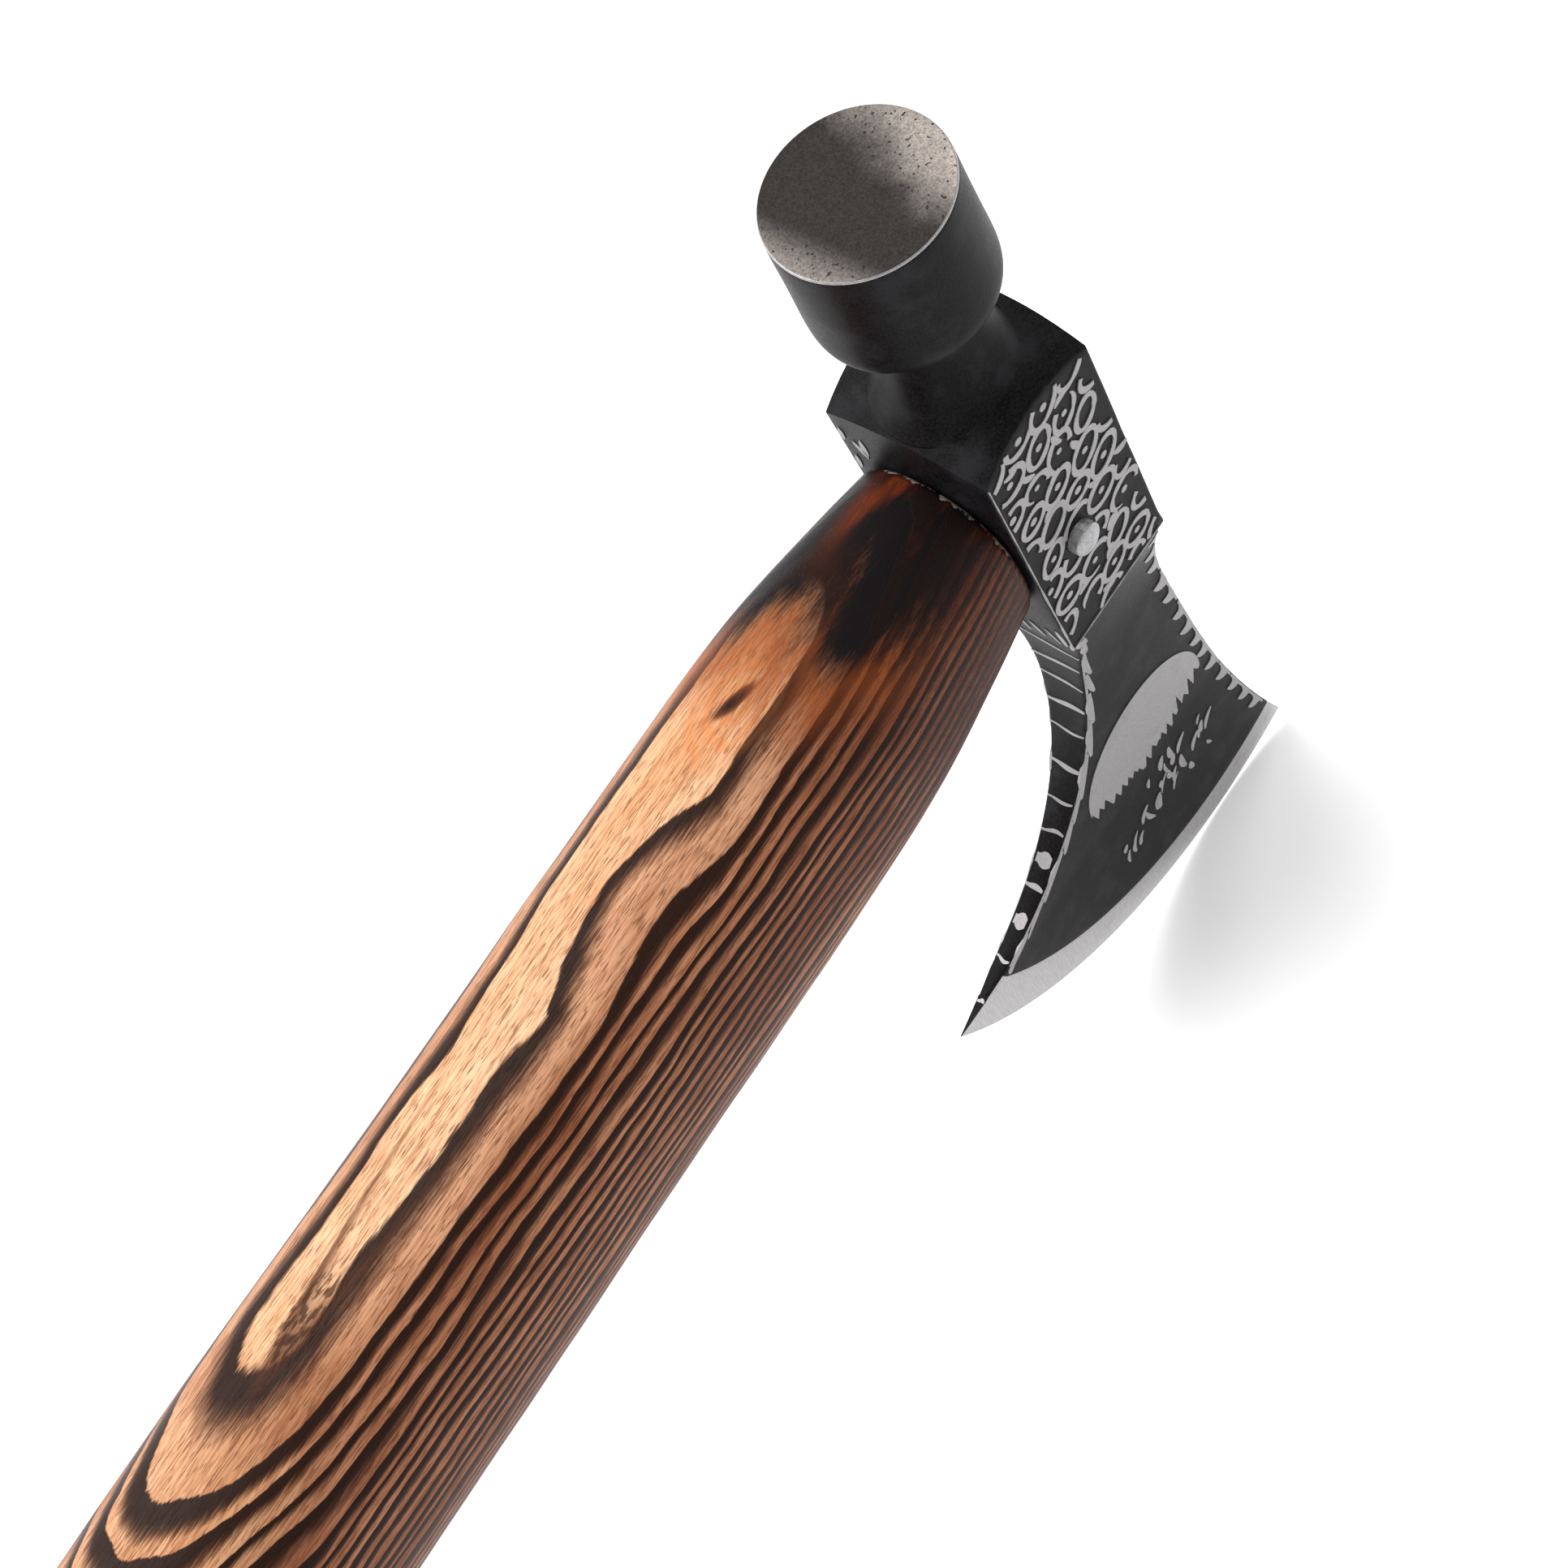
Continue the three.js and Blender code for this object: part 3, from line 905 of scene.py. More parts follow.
def loop_widths(start, is_open):
    widths = [LOOP_STROKE * (0.8 + 0.5 * abs(sin(1.5 * i / 3 + start))) for i in range(LOOP_POINTS + 1)]
    if is_open:
        return [w * min(1, (LOOP_POINTS - i) / 6 + 0.25) for i, w in enumerate(widths)]
    widths[-1] = widths[0]
    return widths


def scroll_loop(bm, cell):
    centre = cell + Vector(pen.uniform(-0.55, 0.55, 2))
    tilt = between(-0.2, 1.1)
    size = between(0.88, 1.14)
    is_open = pen.random() < OPEN_SHARE
    start = between(0, 2 * pi)
    end = start + 2 * pi * (OPEN_SWEEP if is_open else 1)
    long, short = LOOP_HALF[0] * size, LOOP_HALF[1] * size
    line = oval(centre, long, short, tilt, start, end, LOOP_POINTS, 0.07)
    run = kept(line, loop_widths(start, is_open))
    if len(run) > 5:
        ribbon(bm, [point for point, _ in run], [width for _, width in run])
    if on_panel(centre, 1.2) and (centre - PIN_ON_CHEEK).length > DOT_CLEAR:
        if pen.random() < 0.74:
            dot(bm, centre, between(0.5, 0.72), 0.85)
    web(bm, centre + Vector((LOOP_PITCH[0] * 0.5, -LOOP_PITCH[1] * 0.48)))


def web(bm, place):
    """A short dagger that fills the gap between four loops."""
    clear = (place - PIN_ON_CHEEK).length > WEB_CLEAR
    if on_panel(place, 1.6) and clear and pen.random() < 0.5:
        turn = between(0, pi)
        reach = Vector((cos(turn), sin(turn))) * 1.5
        dagger(bm, place - reach, place + reach, between(0.4, 0.75), 0.12)


# %% Rows of loops over the whole eye
def scroll_loops():
    bm = bmesh.new()
    row, z = 0, 0.6
    while z > -BLOCK_DEPTH:
        x = -BLOCK_HALF_HEIGHT + 1.0 + (row % 2) * LOOP_PITCH[0] / 2
        while x < BLOCK_HALF_HEIGHT:
            scroll_loop(bm, Vector((x, z)))
            x += LOOP_PITCH[0]
        z -= LOOP_PITCH[1]
        row += 1
    # Bright lines where the panel's arrises were rubbed clean
    foot_x, blade_z = -BLOCK_HALF_HEIGHT + 0.32, -BLOCK_DEPTH + 0.35
    foot = [Vector((foot_x, z)) for z in np.linspace(-0.6, -BLOCK_DEPTH + 0.3, 30)]
    blade_side = [Vector((x, blade_z)) for x in np.linspace(-11, 10.4, 24)]
    for line in (foot, blade_side):
        ribbon(bm, line, [between(0.05, 0.15) for _ in line])
    return bm


lay_on_cheeks("etched_scrolls", scroll_loops())

# %% Moon over fir trees
MOON = Vector((-0.8, -110.4))
MOON_RADIUS = 15.6


def fir_line():
    """The dark skyline: spikes of many heights standing on a slow curve."""
    places = np.linspace(-MOON_RADIUS, MOON_RADIUS, 241)
    ground = -7.2 + 2.6 * (places / 11) ** 2 + 0.6 * np.sin(places * 0.9)
    line = ground.copy()
    for centre in np.arange(-15, 15.5, 1.7):
        middle = centre + pen.uniform(-0.5, 0.5)
        tall = pen.uniform(0.8, 3.6) * (1.5 if abs(middle - 9.5) < 3 else 1)
        wide = pen.uniform(0.7, 1.2)
        away = np.abs(places - middle) / wide
        tiers = 0.12 * np.abs(np.sin(away * 9))
        line = np.maximum(line, ground + tall * (1 - away - tiers))
    return places, line


# %% The moon, cut off by the trees, and the light between their trunks
TRUNK_LIGHTS = 34
SLIVER = 0.012  # faces smaller than this, in square mm, are where the moon has no height


def moon_and_trees():
    bm = bmesh.new()
    places, trees = fir_line()
    last = len(places) - 1
    made = bmesh.ops.create_grid(bm, x_segments=last, y_segments=6, size=1)["verts"]
    for vertex in made:
        i = round((vertex.co.x + 1) / 2 * last)
        top = max(0.0, MOON_RADIUS**2 - places[i] ** 2) ** 0.5
        low = max(trees[i], -top)
        z = low + (max(top, low + 0.01) - low) * (vertex.co.y + 1) / 2
        vertex.co = (MOON.x + places[i], PLATE, MOON.y + z)
    thin = [face for face in bm.faces if face.calc_area() < SLIVER]
    bmesh.ops.delete(bm, geom=thin, context="FACES")
    for _ in range(TRUNK_LIGHTS):
        x = between(-14.5, 13.5)
        z = MOON.y - between(11, 24) - 0.05 * abs(x) - 3.0 * (x < -6)
        lean = Vector((between(-0.5, 0.9), 1)).normalized()
        long = between(0.8, 2.6)
        start = Vector((x, z))
        if radius_of(start) > EDGE_RADIUS - BEVEL_WIDTH - 3:
            continue
        dagger(bm, start - lean * long, start + lean * long, between(0.3, 0.75), 0.1, 6)
    return bm


lay_on_cheeks("etched_moon", moon_and_trees())

# %% Toothed borders of the blade
TOOTH_PITCH = 6.6
FIRST_TOOTH = 13
TOOTH_FOOT = [(-3.3, 0.2), (-1.5, 0.24), (0, 0.3), (1.5, 0.24), (3.3, 0.2)]  # along the edge, half width
LEAF_LAP = 0.86
RIM_FROM = 260
RIM_EVERY = 9
RIM_INSET = 0.55


def heading(line, i, span=5):
    return (line[i + span] - line[i - span]).normalized()


def teeth(bm):
    """Teeth along the top edge that lean to the cutting edge, joined by a thin line."""
    lengths = lengths_of(TOP_PLAIN)
    for place in np.arange(FIRST_TOOTH, lengths[-1] - 1.5, TOOTH_PITCH):
        i = int(np.searchsorted(lengths, place + pen.uniform(-0.6, 0.6)))
        root, direction = TOP_PLAIN[i], heading(TOP_PLAIN, i)
        inward = Vector((direction.y, -direction.x))
        if inward.x > 0:
            inward = -inward
        tip = root + inward * between(2.4, 3.4) - direction * 1.2
        base = root + inward * 0.45
        line = [base.lerp(tip, i / 5) + direction * 0.5 * sin(pi * i / 5) for i in range(6)]
        ribbon(bm, line, [2.05 * (1 - i / 5) ** 0.9 + 0.05 for i in range(6)])
        foot = [root + inward * 0.5 + direction * shift for shift, _ in TOOTH_FOOT]
        ribbon(bm, foot, [half for _, half in TOOTH_FOOT])


def inset_from_beard(i, inset):
    direction = heading(BEARD_PLAIN, i)
    return BEARD_PLAIN[i] + Vector((-direction.y, direction.x)) * inset


def leaves(bm):
    """Long leaves that overlap down the beard's edge."""
    lengths = lengths_of(BEARD_PLAIN)
    place = 6.0
    while place < lengths[-1] - 2:
        long = between(5.5, 10.5)
        ends = []
        for at, inset in ((place, 1.0), (min(place + long, lengths[-1] - 0.5), between(1.6, 2.4))):
            i = min(int(np.searchsorted(lengths, at)), len(BEARD_PLAIN) - 6)
            ends.append(inset_from_beard(i, inset))
        dagger(bm, *ends, between(0.55, 0.95), -0.04)
        place += long * LEAF_LAP


def border():
    bm = bmesh.new()
    teeth(bm)
    leaves(bm)
    rim = [inset_from_beard(i, RIM_INSET) for i in range(RIM_FROM, len(BEARD_PLAIN) - 6, RIM_EVERY)]
    ribbon(bm, rim, [0.22 for _ in rim])
    return bm


lay_on_cheeks("etched_border", border())

# %% Stripes across the spine
STRIPES = (-53, -58.5, -64.5, -70.5, -76.5, -82.5, -88.5, -95, -101, -105.3, -112, -117.0, -119.2)
# Two light patches on the spine wall are painted highlights, where the spine glints.
SPINE_GLINT_SPOTS = (-108.7, -114.6)
FOOT_STREAKS = ((11.9, -3.0), (10.4, -5.4), (8.7, -4.0), (11.6, -10.0), (12.0, -16.0), (-11.8, -41.0))
WALL_PLATE = 0.12
WALL_SUNK = 0.4


def sink(bm, made, inward):
    """Gives the faces between some points a thickness, by pushing a copy into the steel."""
    faces = {face for vertex in made for face in vertex.link_faces}
    sunk = bmesh.ops.extrude_face_region(bm, geom=list(faces))["geom"]
    bmesh.ops.translate(bm, vec=inward, verts=[v for v in sunk if isinstance(v, bmesh.types.BMVert)])


def on_wall(bm, centre_z, half_width, reach, slant=0.0, wave=0.0):
    """A stripe across the beard's wall. reach is its start and end as shares of the thickness."""
    i = first_index(BEARD, lambda point: point.y < centre_z)
    here, direction = BEARD[i], heading(BEARD, i, 4)
    outward = Vector((direction.y, -direction.x))
    half = half_at(here.x, here.y) - WALL_PLATE
    made = bmesh.ops.create_grid(bm, x_segments=2, y_segments=12, size=1)["verts"]
    for vertex in made:
        share = (vertex.co.y + 1) / 2
        across = half * (reach[0] + (reach[1] - reach[0]) * share)
        pinch = 0.55 + 0.45 * sin(pi * min(1, share * 1.2))
        slide = vertex.co.x * half_width * pinch + slant * across + wave * sin(5 * share)
        point = here + direction * slide + outward * WALL_PLATE
        vertex.co = (point.x, across, point.y)
    sink(bm, made, Vector((-outward.x, 0, -outward.y)) * WALL_SUNK)


def foot_streak(bm, start, end, half_width):
    """A streak on the block's foot face, from one (y, z) to another."""
    start, end = Vector(start), Vector(end)
    direction = (end - start).normalized()
    made = bmesh.ops.create_grid(bm, x_segments=8, y_segments=1, size=1)["verts"]
    for vertex in made:
        share = (vertex.co.x + 1) / 2
        reach = (1 if vertex.co.y > 0 else -1) * half_width * (0.12 + sin(pi * share) ** 0.7)
        point = start.lerp(end, share) + Vector((-direction.y, direction.x)) * reach
        vertex.co = (-BLOCK_HALF_HEIGHT - WALL_PLATE, point.x, point.y)
    sink(bm, made, Vector((WALL_SUNK, 0, 0)))


# %% All the stripes
def spine_stripes():
    bm = bmesh.new()
    for y, z in FOOT_STREAKS:
        lean = between(-1.6, 0.4)
        foot_streak(bm, (y, z), (y + lean, z - between(3.0, 5.5)), between(0.3, 0.5))
    for y in np.arange(-11.5, 12, 2.6):
        low = -45.8 + between(0, 0.8)
        foot_streak(bm, (y, low), (y + 2.0, low + between(2.2, 4.6)), between(0.22, 0.4))
    for z in STRIPES:
        slant, wave = between(-0.12, 0.12), between(-0.3, 0.3)
        on_wall(bm, z + between(-0.5, 0.5), between(0.3, 0.55), (-0.97, 0.97), slant, wave)
    # Painted highlights: two light patches where the spine catches the light.
    for z in SPINE_GLINT_SPOTS:
        on_wall(bm, z, 1.5, (-0.75, 0.75))
    bmesh.ops.recalc_face_normals(bm, faces=bm.faces[:])
    print(f"spine stripes: {len(bm.faces)} faces, {open_edges(bm)} open")
    return place_head(bm)


stripes = as_object("etched_spine", spine_stripes())
assign(stripes, [FROSTED], lambda polygon: 0)

# %% [markdown]
# ## Torched ash
# Ash is ring porous: each year leaves a soft pale layer and then a hard dark one. A torch chars the
# hard lines most, so they turn nearly black while the soft wood stays tan. The stick is sawn so that
# its rings lie almost flat under the poll side, where they show as long U shapes, and stand as lines
# on its cheeks. A field of height across the rings, read in 3-D, gives both from one set of nodes.

# %% Fibre and pores, shared by the handle and its wedge
fibre_group, fibre_in, fibre_out = new_group(
    "wood fibre", {"Place": 0, "Stretch": 0.05}, ("Fibre", "Pores", "Height")
)
parts = put(fibre_group, "ShaderNodeSeparateXYZ", Vector=fibre_in["Place"]).outputs
long_way = times(fibre_group, parts["X"], fibre_in["Stretch"])
strand_place = put(fibre_group, "ShaderNodeCombineXYZ", X=long_way, Y=parts["Y"], Z=parts["Z"]).outputs[0]
fibre = cloud(fibre_group, strand_place, 3.4, detail=3.0, roughness=0.7)
pore_cloud = cloud(fibre_group, scaled(fibre_group, strand_place, (1.7, 1, 1), (7, 0, 0)), 5.4, detail=1.0)
pores = step(fibre_group, pore_cloud, 0.42, 0.34)
fibre_group.links.new(fibre, fibre_out["Fibre"])
fibre_group.links.new(pores, fibre_out["Pores"])
fibre_height = minus(fibre_group, times(fibre_group, fibre, 0.5), pores)
fibre_group.links.new(fibre_height, fibre_out["Height"])
print("wood fibre group has", len(fibre_group.nodes), "nodes")

# %% Where the features of the handle's wood lie, in millimetres from the butt
RING_SPACING = 2.75
SIDE_SPACING = 2.05
RING_TILT = 0.163
TOP_LAYER = 18.75  # height of the ring that the poll side just breaks through
U_FOOT = 266.0  # below this the rings dive under the surface and close as U shapes
U_REACH = 48.0
U_DIP = 0.0265
SCORCH_START = 374.0
KNOT = (360.5, 0.7)
HOLLOW = (332.0, -3.4)  # beside the knot the rings sink, and their edge swings inwards
PIT_PLACE = (267.0, 0.4)
SHOULDER_X = 398.25
TONGUE = (381.0, -6.2)  # the flame ran furthest down the first hard line

# %% Colours of the wood, from pale soft wood to char
PALE_WOOD = (0.62, 0.325, 0.162), (0.77, 0.475, 0.285)
# The browned colour is partly torch browning and partly painted shade on the handle's sides.
BROWNED_AND_SHADED_WOOD = (0.27, 0.096, 0.044), (0.46, 0.205, 0.108)
STRAND_TINT = (0.60, 0.44, 0.36)
PORE = (0.13, 0.045, 0.02)
HARD_LINE = (0.060, 0.018, 0.008)
HARD_CORE = (0.012, 0.005, 0.0035)
KNOT_HALO = (0.60, 0.19, 0.055)
KNOT_RING = (0.12, 0.035, 0.016)
KNOT_HEART = (0.02, 0.01, 0.008)
PIT_BROWN = (0.085, 0.026, 0.010)
PIT_CHAR = (0.035, 0.013, 0.006)
SMOKE_TINT = (0.24, 0.15, 0.12)
AMBER = (0.27, 0.065, 0.014)
CHAR = (0.0075, 0.0055, 0.006)
EMBER = (0.15, 0.026, 0.006)
EMBER_STREAK = (0.02, 0.009, 0.007)
BLACK_LINE = (0.016, 0.006, 0.004)
DRIED_GLUE = (0.33, 0.30, 0.28)


# %% Height across the rings, and oval spots on the poll side
def spot(tree, parts, centre, reach_x, reach_y, slant=0.0):
    """1 at a place on the poll side, falling to 0 at an oval round it. Negative beyond."""
    along_x = minus(tree, parts["X"], centre[0])
    along_y = minus(tree, parts["Y"], centre[1])
    along_y = linear(tree, along_x, slant, along_y)
    square_x = calc(tree, "POWER", calc(tree, "ABSOLUTE", calc(tree, "DIVIDE", along_x, reach_x)), 2.0)
    square_y = calc(tree, "POWER", calc(tree, "ABSOLUTE", calc(tree, "DIVIDE", along_y, reach_y)), 2.0)
    away = calc(tree, "SQRT", plus(tree, square_x, square_y))
    return times(tree, minus(tree, 1.0, away), step(tree, parts["Z"], 4.0, 9.0))


def ring_height(tree, place, parts):
    """Height across the year rings, wandering a little along the stick."""
    slow = cloud(tree, scaled(tree, place, (0.016, 0.05, 0.05), (0, 3, 1)), 1.0, detail=2.0)
    quick = cloud(tree, scaled(tree, place, (0.06, 0.16, 0.16), (5, 0, 2)), 1.0, detail=3.0)
    height = linear(tree, parts["Y"], RING_TILT, parts["Z"])
    below_u = above_zero(tree, minus(tree, U_FOOT, parts["X"]))
    dip = times(tree, calc(tree, "POWER", calc(tree, "MINIMUM", below_u, U_REACH), 1.5), -U_DIP)
    height = linear(tree, dip, step(tree, parts["Z"], 6.0, 16.5), height)
    hollow = above_zero(tree, spot(tree, parts, HOLLOW, 17.0, 8.0))
    height = linear(tree, hollow, -2.3, height)
    for noise_value, swing, least in ((slow, 2.6, 0.35), (quick, 1.7, 0.6)):
        calmer_on_top = step(tree, parts["Z"], 20.0, 14.0, least, 1)
        wander = linear(tree, noise_value, swing, -swing / 2)
        height = plus(tree, height, times(tree, wander, calmer_on_top))
    return height


# %% The hard layer that ends each year
def per_ring(tree, value, pace, row=0.0):
    """A random value that stays the same along a ring."""
    across = put(tree, "ShaderNodeCombineXYZ", X=times(tree, value, pace), Y=row)
    return cloud(tree, across.outputs[0], 1.0)


def hard_layers(wood):
    """Masks of the hard dark layers and of their blackest cores."""
    tree, fibre = wood.tree, wood.fibres["Fibre"]
    depth = minus(tree, wood.height, TOP_LAYER)
    deeper = calc(tree, "MINIMUM", plus(tree, depth, RING_SPACING), 0.0)
    years = calc(tree, "MAXIMUM", calc(tree, "DIVIDE", depth, RING_SPACING), -1.0)
    years = plus(tree, years, calc(tree, "DIVIDE", deeper, SIDE_SPACING))
    below = step(tree, years, -0.5, -2.0)
    uneven = linear(tree, per_ring(tree, wood.height, 0.23), 1.6, -0.8)
    years = plus(tree, years, times(tree, uneven, below))
    share = calc(tree, "FRACT", plus(tree, years, plus(tree, wood.frayed, 20.0)))
    weight = plus(tree, per_ring(tree, years, 0.9, 3.0), linear(tree, fibre, 0.3, -0.15))
    heavy = plus(tree, linear(tree, weight, 0.75, share), times(tree, below, 0.10))
    ends = step(tree, share, 1.0, 0.95)
    under_top = minus(tree, 1.0, step(tree, wood.height, TOP_LAYER - 0.1, TOP_LAYER + 0.25))
    late = times(tree, step(tree, heavy, 0.74, 1.10), ends)
    core = times(tree, step(tree, heavy, 0.95, 1.18), ends)
    return times(tree, late, under_top), times(tree, core, under_top)


# %% Soft wood: pale on the poll side, partly as painted light, and elsewhere browned by the torch and by painted shade
def soft_wood(wood):
    tree, patchy, height = wood.tree, wood.patchy, wood.height
    # Painted light: the poll side is pale partly because it is lit, and the sides are darker partly as
    # painted shade.
    bare_and_lit = step(tree, linear(tree, patchy, 1.6, height), TOP_LAYER - 0.4, TOP_LAYER + 0.95)
    second = step(tree, linear(tree, patchy, 3.0, height), TOP_LAYER - 3.6, TOP_LAYER + 0.5)
    bare_and_lit = calc(tree, "MAXIMUM", bare_and_lit, times(tree, second, 0.42))
    past_u = step(tree, wood.parts["X"], U_FOOT - 2, U_FOOT - 20)
    low_end = times(tree, past_u, step(tree, wood.parts["Z"], 11.0, 17.0))
    bare_and_lit = calc(tree, "MAXIMUM", bare_and_lit, times(tree, low_end, 0.72))
    pale = blend(tree, step(tree, patchy, 0.35, 0.65), *PALE_WOOD)
    browned_and_shaded = blend(tree, step(tree, patchy, 0.35, 0.7), *BROWNED_AND_SHADED_WOOD)
    soft = blend(tree, bare_and_lit, browned_and_shaded, pale)
    tinted = blend(tree, 1.0, soft, STRAND_TINT, "MULTIPLY")
    soft = blend(tree, times(tree, wood.strands, 0.7), soft, tinted)
    return blend(tree, times(tree, wood.fibres["Pores"], 0.7), soft, PORE)


# %% The knot, with warm swirls round it
def with_knot(wood, colour):
    tree = wood.tree
    halo = spot(tree, wood.parts, KNOT, 13.0, 6.5)
    swirl = plus(tree, halo, times(tree, wood.patchy, 1.2))
    swirl = calc(tree, "SINE", times(tree, swirl, 26.0))
    warm = times(tree, step(tree, halo, 0.0, 0.45), step(tree, swirl, -0.9, 0.9, 0.25, 0.8))
    colour = blend(tree, times(tree, warm, 0.62), colour, KNOT_HALO)
    knot = plus(tree, spot(tree, wood.parts, KNOT, 4.2, 1.15, 0.28), times(tree, wood.frayed, 4.0))
    colour = blend(tree, step(tree, knot, -0.1, 0.35), colour, KNOT_RING)
    return blend(tree, step(tree, knot, 0.25, 0.7), colour, KNOT_HEART)


# %% A small U of charred, pitted wood
def with_pits(wood, colour):
    """The colour with the charred U in it, and the mask of its pits."""
    tree, x = wood.tree, wood.parts["X"]
    off_axis = minus(tree, wood.parts["Y"], PIT_PLACE[1])
    bow = times(tree, calc(tree, "POWER", calc(tree, "ABSOLUTE", off_axis), 2.0), 2.1)
    into = minus(tree, minus(tree, x, PIT_PLACE[0] - 6), bow)
    into = plus(tree, into, times(tree, wood.frayed, 55.0))
    arms = times(tree, step(tree, into, -5.0, 0.0), step(tree, into, 16.0, 3.0))
    fade = step(tree, x, PIT_PLACE[0] + 46, PIT_PLACE[0] + 4)
    arms = times(tree, arms, times(tree, fade, step(tree, wood.parts["Z"], 10.0, 16.0)))
    colour = blend(tree, times(tree, arms, 0.85), colour, PIT_BROWN)
    foot = spot(tree, wood.parts, (PIT_PLACE[0] + 2, PIT_PLACE[1]), 10.0, 3.6)
    pitted = cloud(tree, scaled(tree, wood.place, (0.5, 1.6, 1.6)), 1.0, detail=2.0)
    charred = times(tree, step(tree, foot, 0.0, 0.5), step(tree, pitted, 0.56, 0.42))
    return blend(tree, times(tree, charred, 0.8), colour, PIT_CHAR), charred


# %% The scorch at the eye: black and dark red brown, with a ragged amber fringe
def scorch_reach(wood, streaks, cheek):
    """Like the distance from the butt, but pulled about, so that the scorch has a ragged edge."""
    tree, parts = wood.tree, wood.parts
    reach = minus(tree, parts["X"], times(tree, cheek, 21.0))
    reach = plus(tree, reach, step(tree, parts["Y"], 3.0, 9.0, 0.0, 9.0))
    reach = plus(tree, reach, linear(tree, streaks, 30.0, -15.0))
    reach = plus(tree, reach, times(tree, wood.frayed, 75.0))
    tongue = above_zero(tree, spot(tree, parts, TONGUE, 17.0, 3.2))
    return linear(tree, tongue, 17.0, reach)


def with_scorch(wood, colour, late):
    tree, parts = wood.tree, wood.parts
    shape = scaled(tree, wood.place, (0.035, 0.16, 0.16), (2, 0, 6))
    streaks = cloud(tree, shape, 1.0, detail=3.0, roughness=0.55)
    cheek = step(tree, parts["Z"], 15.5, 4.0)
    reach = scorch_reach(wood, streaks, cheek)
    fringe = step(tree, reach, SCORCH_START - 17, SCORCH_START - 2)
    scorch = step(tree, reach, SCORCH_START - 5, SCORCH_START + 8)
    smoked = linear(tree, streaks, 24.0, parts["X"])
    smoked = step(tree, smoked, SCORCH_START - 12, EYE_X - 10)
    smoke = blend(tree, 1.0, colour, SMOKE_TINT, "MULTIPLY")
    colour = blend(tree, times(tree, smoked, 0.9), colour, smoke)
    glow = times(tree, fringe, minus(tree, 1.0, scorch))
    glow = times(tree, glow, linear(tree, cheek, -0.9, 0.95))
    colour = blend(tree, times(tree, glow, 0.75), colour, AMBER)
    ember = step(tree, linear(tree, parts["Y"], 0.008, streaks), 0.37, 0.55)
    ember = times(tree, ember, step(tree, parts["X"], SCORCH_START + 2, EYE_X - 14))
    ember = times(tree, ember, step(tree, parts["Y"], 7.5, 3.5))
    burnt = blend(tree, ember, CHAR, EMBER)
    streaked = times(tree, times(tree, wood.strands, 0.5), ember)
    burnt = blend(tree, streaked, burnt, EMBER_STREAK)
    lines_show = times(tree, cheek, 0.5)
    cover = times(tree, scorch, minus(tree, 1.0, lines_show))
    colour = blend(tree, cover, colour, burnt)
    return blend(tree, times(tree, late, linear(tree, cheek, 0.45, 0.4)), colour, BLACK_LINE)


# %% A thin line of dried glue at the shoulder
def with_glue(wood, colour):
    tree, x = wood.tree, wood.parts["X"]
    ragged = cloud(tree, scaled(tree, wood.place, (0.3, 0.9, 0.9), (3, 1, 8)), 1.0, detail=3.0)
    jagged = linear(tree, ragged, 4.4, -2.7)
    glue = step(tree, plus(tree, x, jagged), SHOULDER_X - 0.9, SHOULDER_X - 0.6)
    glue = times(tree, glue, step(tree, wood.parts["Z"], 2.0, 8.0))
    glue = times(tree, glue, step(tree, x, SHOULDER_X + 0.3, SHOULDER_X + 0.1))
    return blend(tree, times(tree, glue, 0.85), colour, DRIED_GLUE)


# %% Torched ash
def torched_ash():
    """Brushed after torching, then oiled: the hard lines stand proud and shine a little more."""
    material, tree, shader, place = new_material("torched ash")
    shader.inputs["Specular IOR Level"].default_value = 0.07
    parts = put(tree, "ShaderNodeSeparateXYZ", Vector=place).outputs
    fibres = use_group(tree, fibre_group, Place=place, Stretch=0.045)
    blotches = scaled(tree, place, (0.02, 0.08, 0.08), (1, 4, 0))
    wood = SimpleNamespace(
        tree=tree, place=place, parts=parts, fibres=fibres,
        height=ring_height(tree, place, parts),
        frayed=linear(tree, fibres["Fibre"], 0.16, -0.08),
        strands=step(tree, fibres["Fibre"], 0.42, 0.60),
        patchy=cloud(tree, blotches, 1.0, detail=4.0, roughness=0.6),
    )
    late, core = hard_layers(wood)
    colour = blend(tree, times(tree, late, 0.84), soft_wood(wood), HARD_LINE)
    colour = blend(tree, times(tree, core, 0.88), colour, HARD_CORE)
    colour = with_knot(wood, colour)
    colour, charred = with_pits(wood, colour)
    colour = with_scorch(wood, colour, late)
    feed(tree, shader.inputs["Base Color"], with_glue(wood, colour))

    gloss = minus(tree, linear(tree, late, -0.08, 0.47), 0.05)
    feed(tree, shader.inputs["Roughness"], linear(tree, fibres["Fibre"], 0.12, gloss))
    relief = plus(tree, times(tree, late, 0.8), fibres["Height"])
    raise_bump(tree, shader, minus(tree, relief, times(tree, charred, 1.5)), 0.10, 0.55)
    return material


TORCHED_ASH = torched_ash()
print("torched ash has", len(TORCHED_ASH.node_tree.nodes), "nodes")

# %% [markdown]
# ## The handle
# A handle is shaved from a billet to oval sections that swell at the hand and at the butt. A tube of
# unit rings is made from a grid, and every ring takes the width, depth and sag of its own station.
# Past the shoulder the same tube narrows to the tenon that fills the eye.

